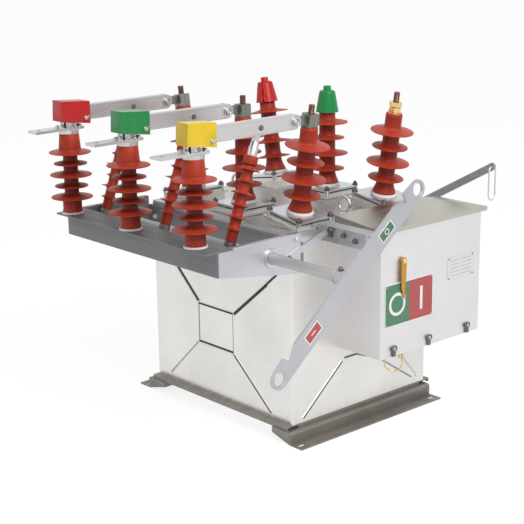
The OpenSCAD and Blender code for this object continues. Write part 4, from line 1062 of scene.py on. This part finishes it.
def latch_wires():
    """Bent wire keeper and screw of each latch."""
    made = shape("plated_steel")
    low, high = span("box_latches")
    box_low = span("mechanism_box")[0]
    for y in (low.y + 12, 124, high.y - 12):
        made.rod((high.x - 1, y + 2, box_low.z + 22), (high.x - 1, y + 15, box_low.z + 14), 1.6, 10)
        made.hex_bolt((high.x, y, box_low.z + 28), (1, 0, 0), 7, 1.6, 0.5)
    made.piece("latch_wires", "frame", "plated_steel")


def charging_details():
    made = shape("plated_steel")
    low, high = span("charging_shaft")
    x = (low.x + high.x) / 2
    z = (low.z + high.z) / 2
    made.hex_bolt((x, high.y, z), (0, 1, 0), 17, 5, 1.5)
    made.lathe([(0, 0), (26, 0), (26, 4), (20, 6), (0, 6)],
               Matrix.Translation((x, low.y, z)) @ Matrix.Rotation(-math.pi / 2, 4, "X"), 40)
    made.piece("charging_hub", "frame", "plated_steel")


def base_details():
    """Bolts that hold the tank's rails to the beams."""
    made = shape("dark_bolt")
    angle_low, angle_high = span("base_angles")
    for side in (-1, 1):
        for y in (angle_low.y + 12, angle_high.y - 12):
            made.hex_bolt((side * 318, y, angle_low.z + 0.5), (0, 0, -1), 13, 7, 1.5)
    made.piece("base_bolts", "frame", "galvanized_base")


# ======== studio ========

def add_camera():
    forward = Vector((
        math.cos(CAMERA_AZIMUTH) * math.cos(CAMERA_PITCH),
        math.sin(CAMERA_AZIMUTH) * math.cos(CAMERA_PITCH),
        -math.sin(CAMERA_PITCH)))
    level = Vector((math.sin(CAMERA_AZIMUTH), -math.cos(CAMERA_AZIMUTH), 0))
    upright = level.cross(forward)
    right = math.cos(CAMERA_ROLL) * level + math.sin(CAMERA_ROLL) * upright
    up = math.cos(CAMERA_ROLL) * upright - math.sin(CAMERA_ROLL) * level
    lens = bpy.data.cameras.new("camera")
    lens.sensor_width = 36
    lens.lens = CAMERA_LENS
    lens.clip_end = 100
    camera = bpy.data.objects.new("camera", lens)
    camera.matrix_world = axes_matrix(right, up, -forward, CAMERA_PLACE)
    bpy.context.scene.collection.objects.link(camera)
    bpy.context.scene.camera = camera


def seen_directly(tree):
    """1 for camera, glossy and transmission rays, else 0."""
    rays = tree.nodes.new("ShaderNodeLightPath")
    total = rays.outputs["Is Camera Ray"]
    for name in ("Is Glossy Ray", "Is Transmission Ray"):
        largest = tree.nodes.new("ShaderNodeMath")
        largest.operation = "MAXIMUM"
        tree.links.new(total, largest.inputs[0])
        tree.links.new(rays.outputs[name], largest.inputs[1])
        total = largest.outputs[0]
    return total


def add_world():
    """Even studio light, brighter from above; white where it is seen or mirrored."""
    world = bpy.data.worlds.new("studio")
    world.use_nodes = True
    bpy.context.scene.world = world
    tree = world.node_tree
    tree.nodes.clear()
    place = tree.nodes.new("ShaderNodeTexCoord")
    parts = tree.nodes.new("ShaderNodeSeparateXYZ")
    tree.links.new(place.outputs["Generated"], parts.inputs["Vector"])
    glow = tree.nodes.new("ShaderNodeBackground")
    sky = ramp(tree, parts.outputs["Z"], (0.26, 0.255, 0.25), (0.90, 0.90, 0.92), 0.0, 0.8)
    tree.links.new(sky, glow.inputs["Color"])
    glow.inputs["Strength"].default_value = 0.72
    white = tree.nodes.new("ShaderNodeBackground")
    white.inputs["Color"].default_value = (1, 1, 1, 1)
    mix = tree.nodes.new("ShaderNodeMixShader")
    out = tree.nodes.new("ShaderNodeOutputWorld")
    tree.links.new(seen_directly(tree), mix.inputs["Fac"])
    tree.links.new(glow.outputs["Background"], mix.inputs[1])
    tree.links.new(white.outputs["Background"], mix.inputs[2])
    tree.links.new(mix.outputs["Shader"], out.inputs["Surface"])


def add_floor():
    mesh = bpy.data.meshes.new("floor")
    size = 30
    corners = [(-size, -size, 0), (size, -size, 0), (size, size, 0), (-size, size, 0)]
    mesh.from_pydata(corners, [], [(0, 1, 2, 3)])
    floor = bpy.data.objects.new("floor", mesh)
    floor.location.z = -0.0006
    bpy.context.scene.collection.objects.link(floor)
    made = bpy.data.materials.new("floor")
    made.use_nodes = True
    tree = made.node_tree
    tree.nodes.clear()
    diffuse = tree.nodes.new("ShaderNodeBsdfDiffuse")
    diffuse.inputs["Color"].default_value = (0.86, 0.86, 0.86, 1)
    glow = tree.nodes.new("ShaderNodeEmission")
    glow.inputs["Color"].default_value = (1, 1, 1, 1)
    glow.inputs["Strength"].default_value = 1.16
    mix = tree.nodes.new("ShaderNodeMixShader")
    share = tree.nodes.new("ShaderNodeMath")
    share.operation = "MULTIPLY"
    share.inputs[1].default_value = 0.72
    out = tree.nodes.new("ShaderNodeOutputMaterial")
    tree.links.new(seen_directly(tree), share.inputs[0])
    tree.links.new(share.outputs[0], mix.inputs["Fac"])
    tree.links.new(diffuse.outputs["BSDF"], mix.inputs[1])
    tree.links.new(glow.outputs["Emission"], mix.inputs[2])
    tree.links.new(mix.outputs["Shader"], out.inputs["Surface"])
    mesh.materials.append(made)


def add_lamp(name, place, target, size, power):
    lamp = bpy.data.lights.new(name, "AREA")
    lamp.shape = "SQUARE"
    lamp.size = size
    lamp.energy = power
    holder = bpy.data.objects.new(name, lamp)
    holder.location = place
    aim = Vector(target) - Vector(place)
    holder.rotation_euler = aim.to_track_quat("-Z", "Y").to_euler()
    bpy.context.scene.collection.objects.link(holder)


def add_studio():
    add_camera()
    add_world()
    add_floor()
    target = (0, -0.1, 0.6)
    add_lamp("key", (3.4, -0.6, 3.6), target, 2.2, 115)
    add_lamp("fill", (-1.8, -3.8, 2.4), target, 2.6, 14)
    bpy.context.scene.view_settings.view_transform = "Standard"


for build in (
    add_studio, dress_nodes, bushings, posts, pull_rods, flange_stack, flange_plates,
    flange_bolts, collars, studs, brass_nuts, terminal_caps, clamps, blade_details, hoods,
    post_tops, tank_creases, tank_studs, lifting_feet, tray_details, strut_bolts,
    shaft_details, lever_plates, lever_rims, box_details, position_sign, rating_plate, pointer,
    latch_wires, charging_details, base_details,
):
    build()
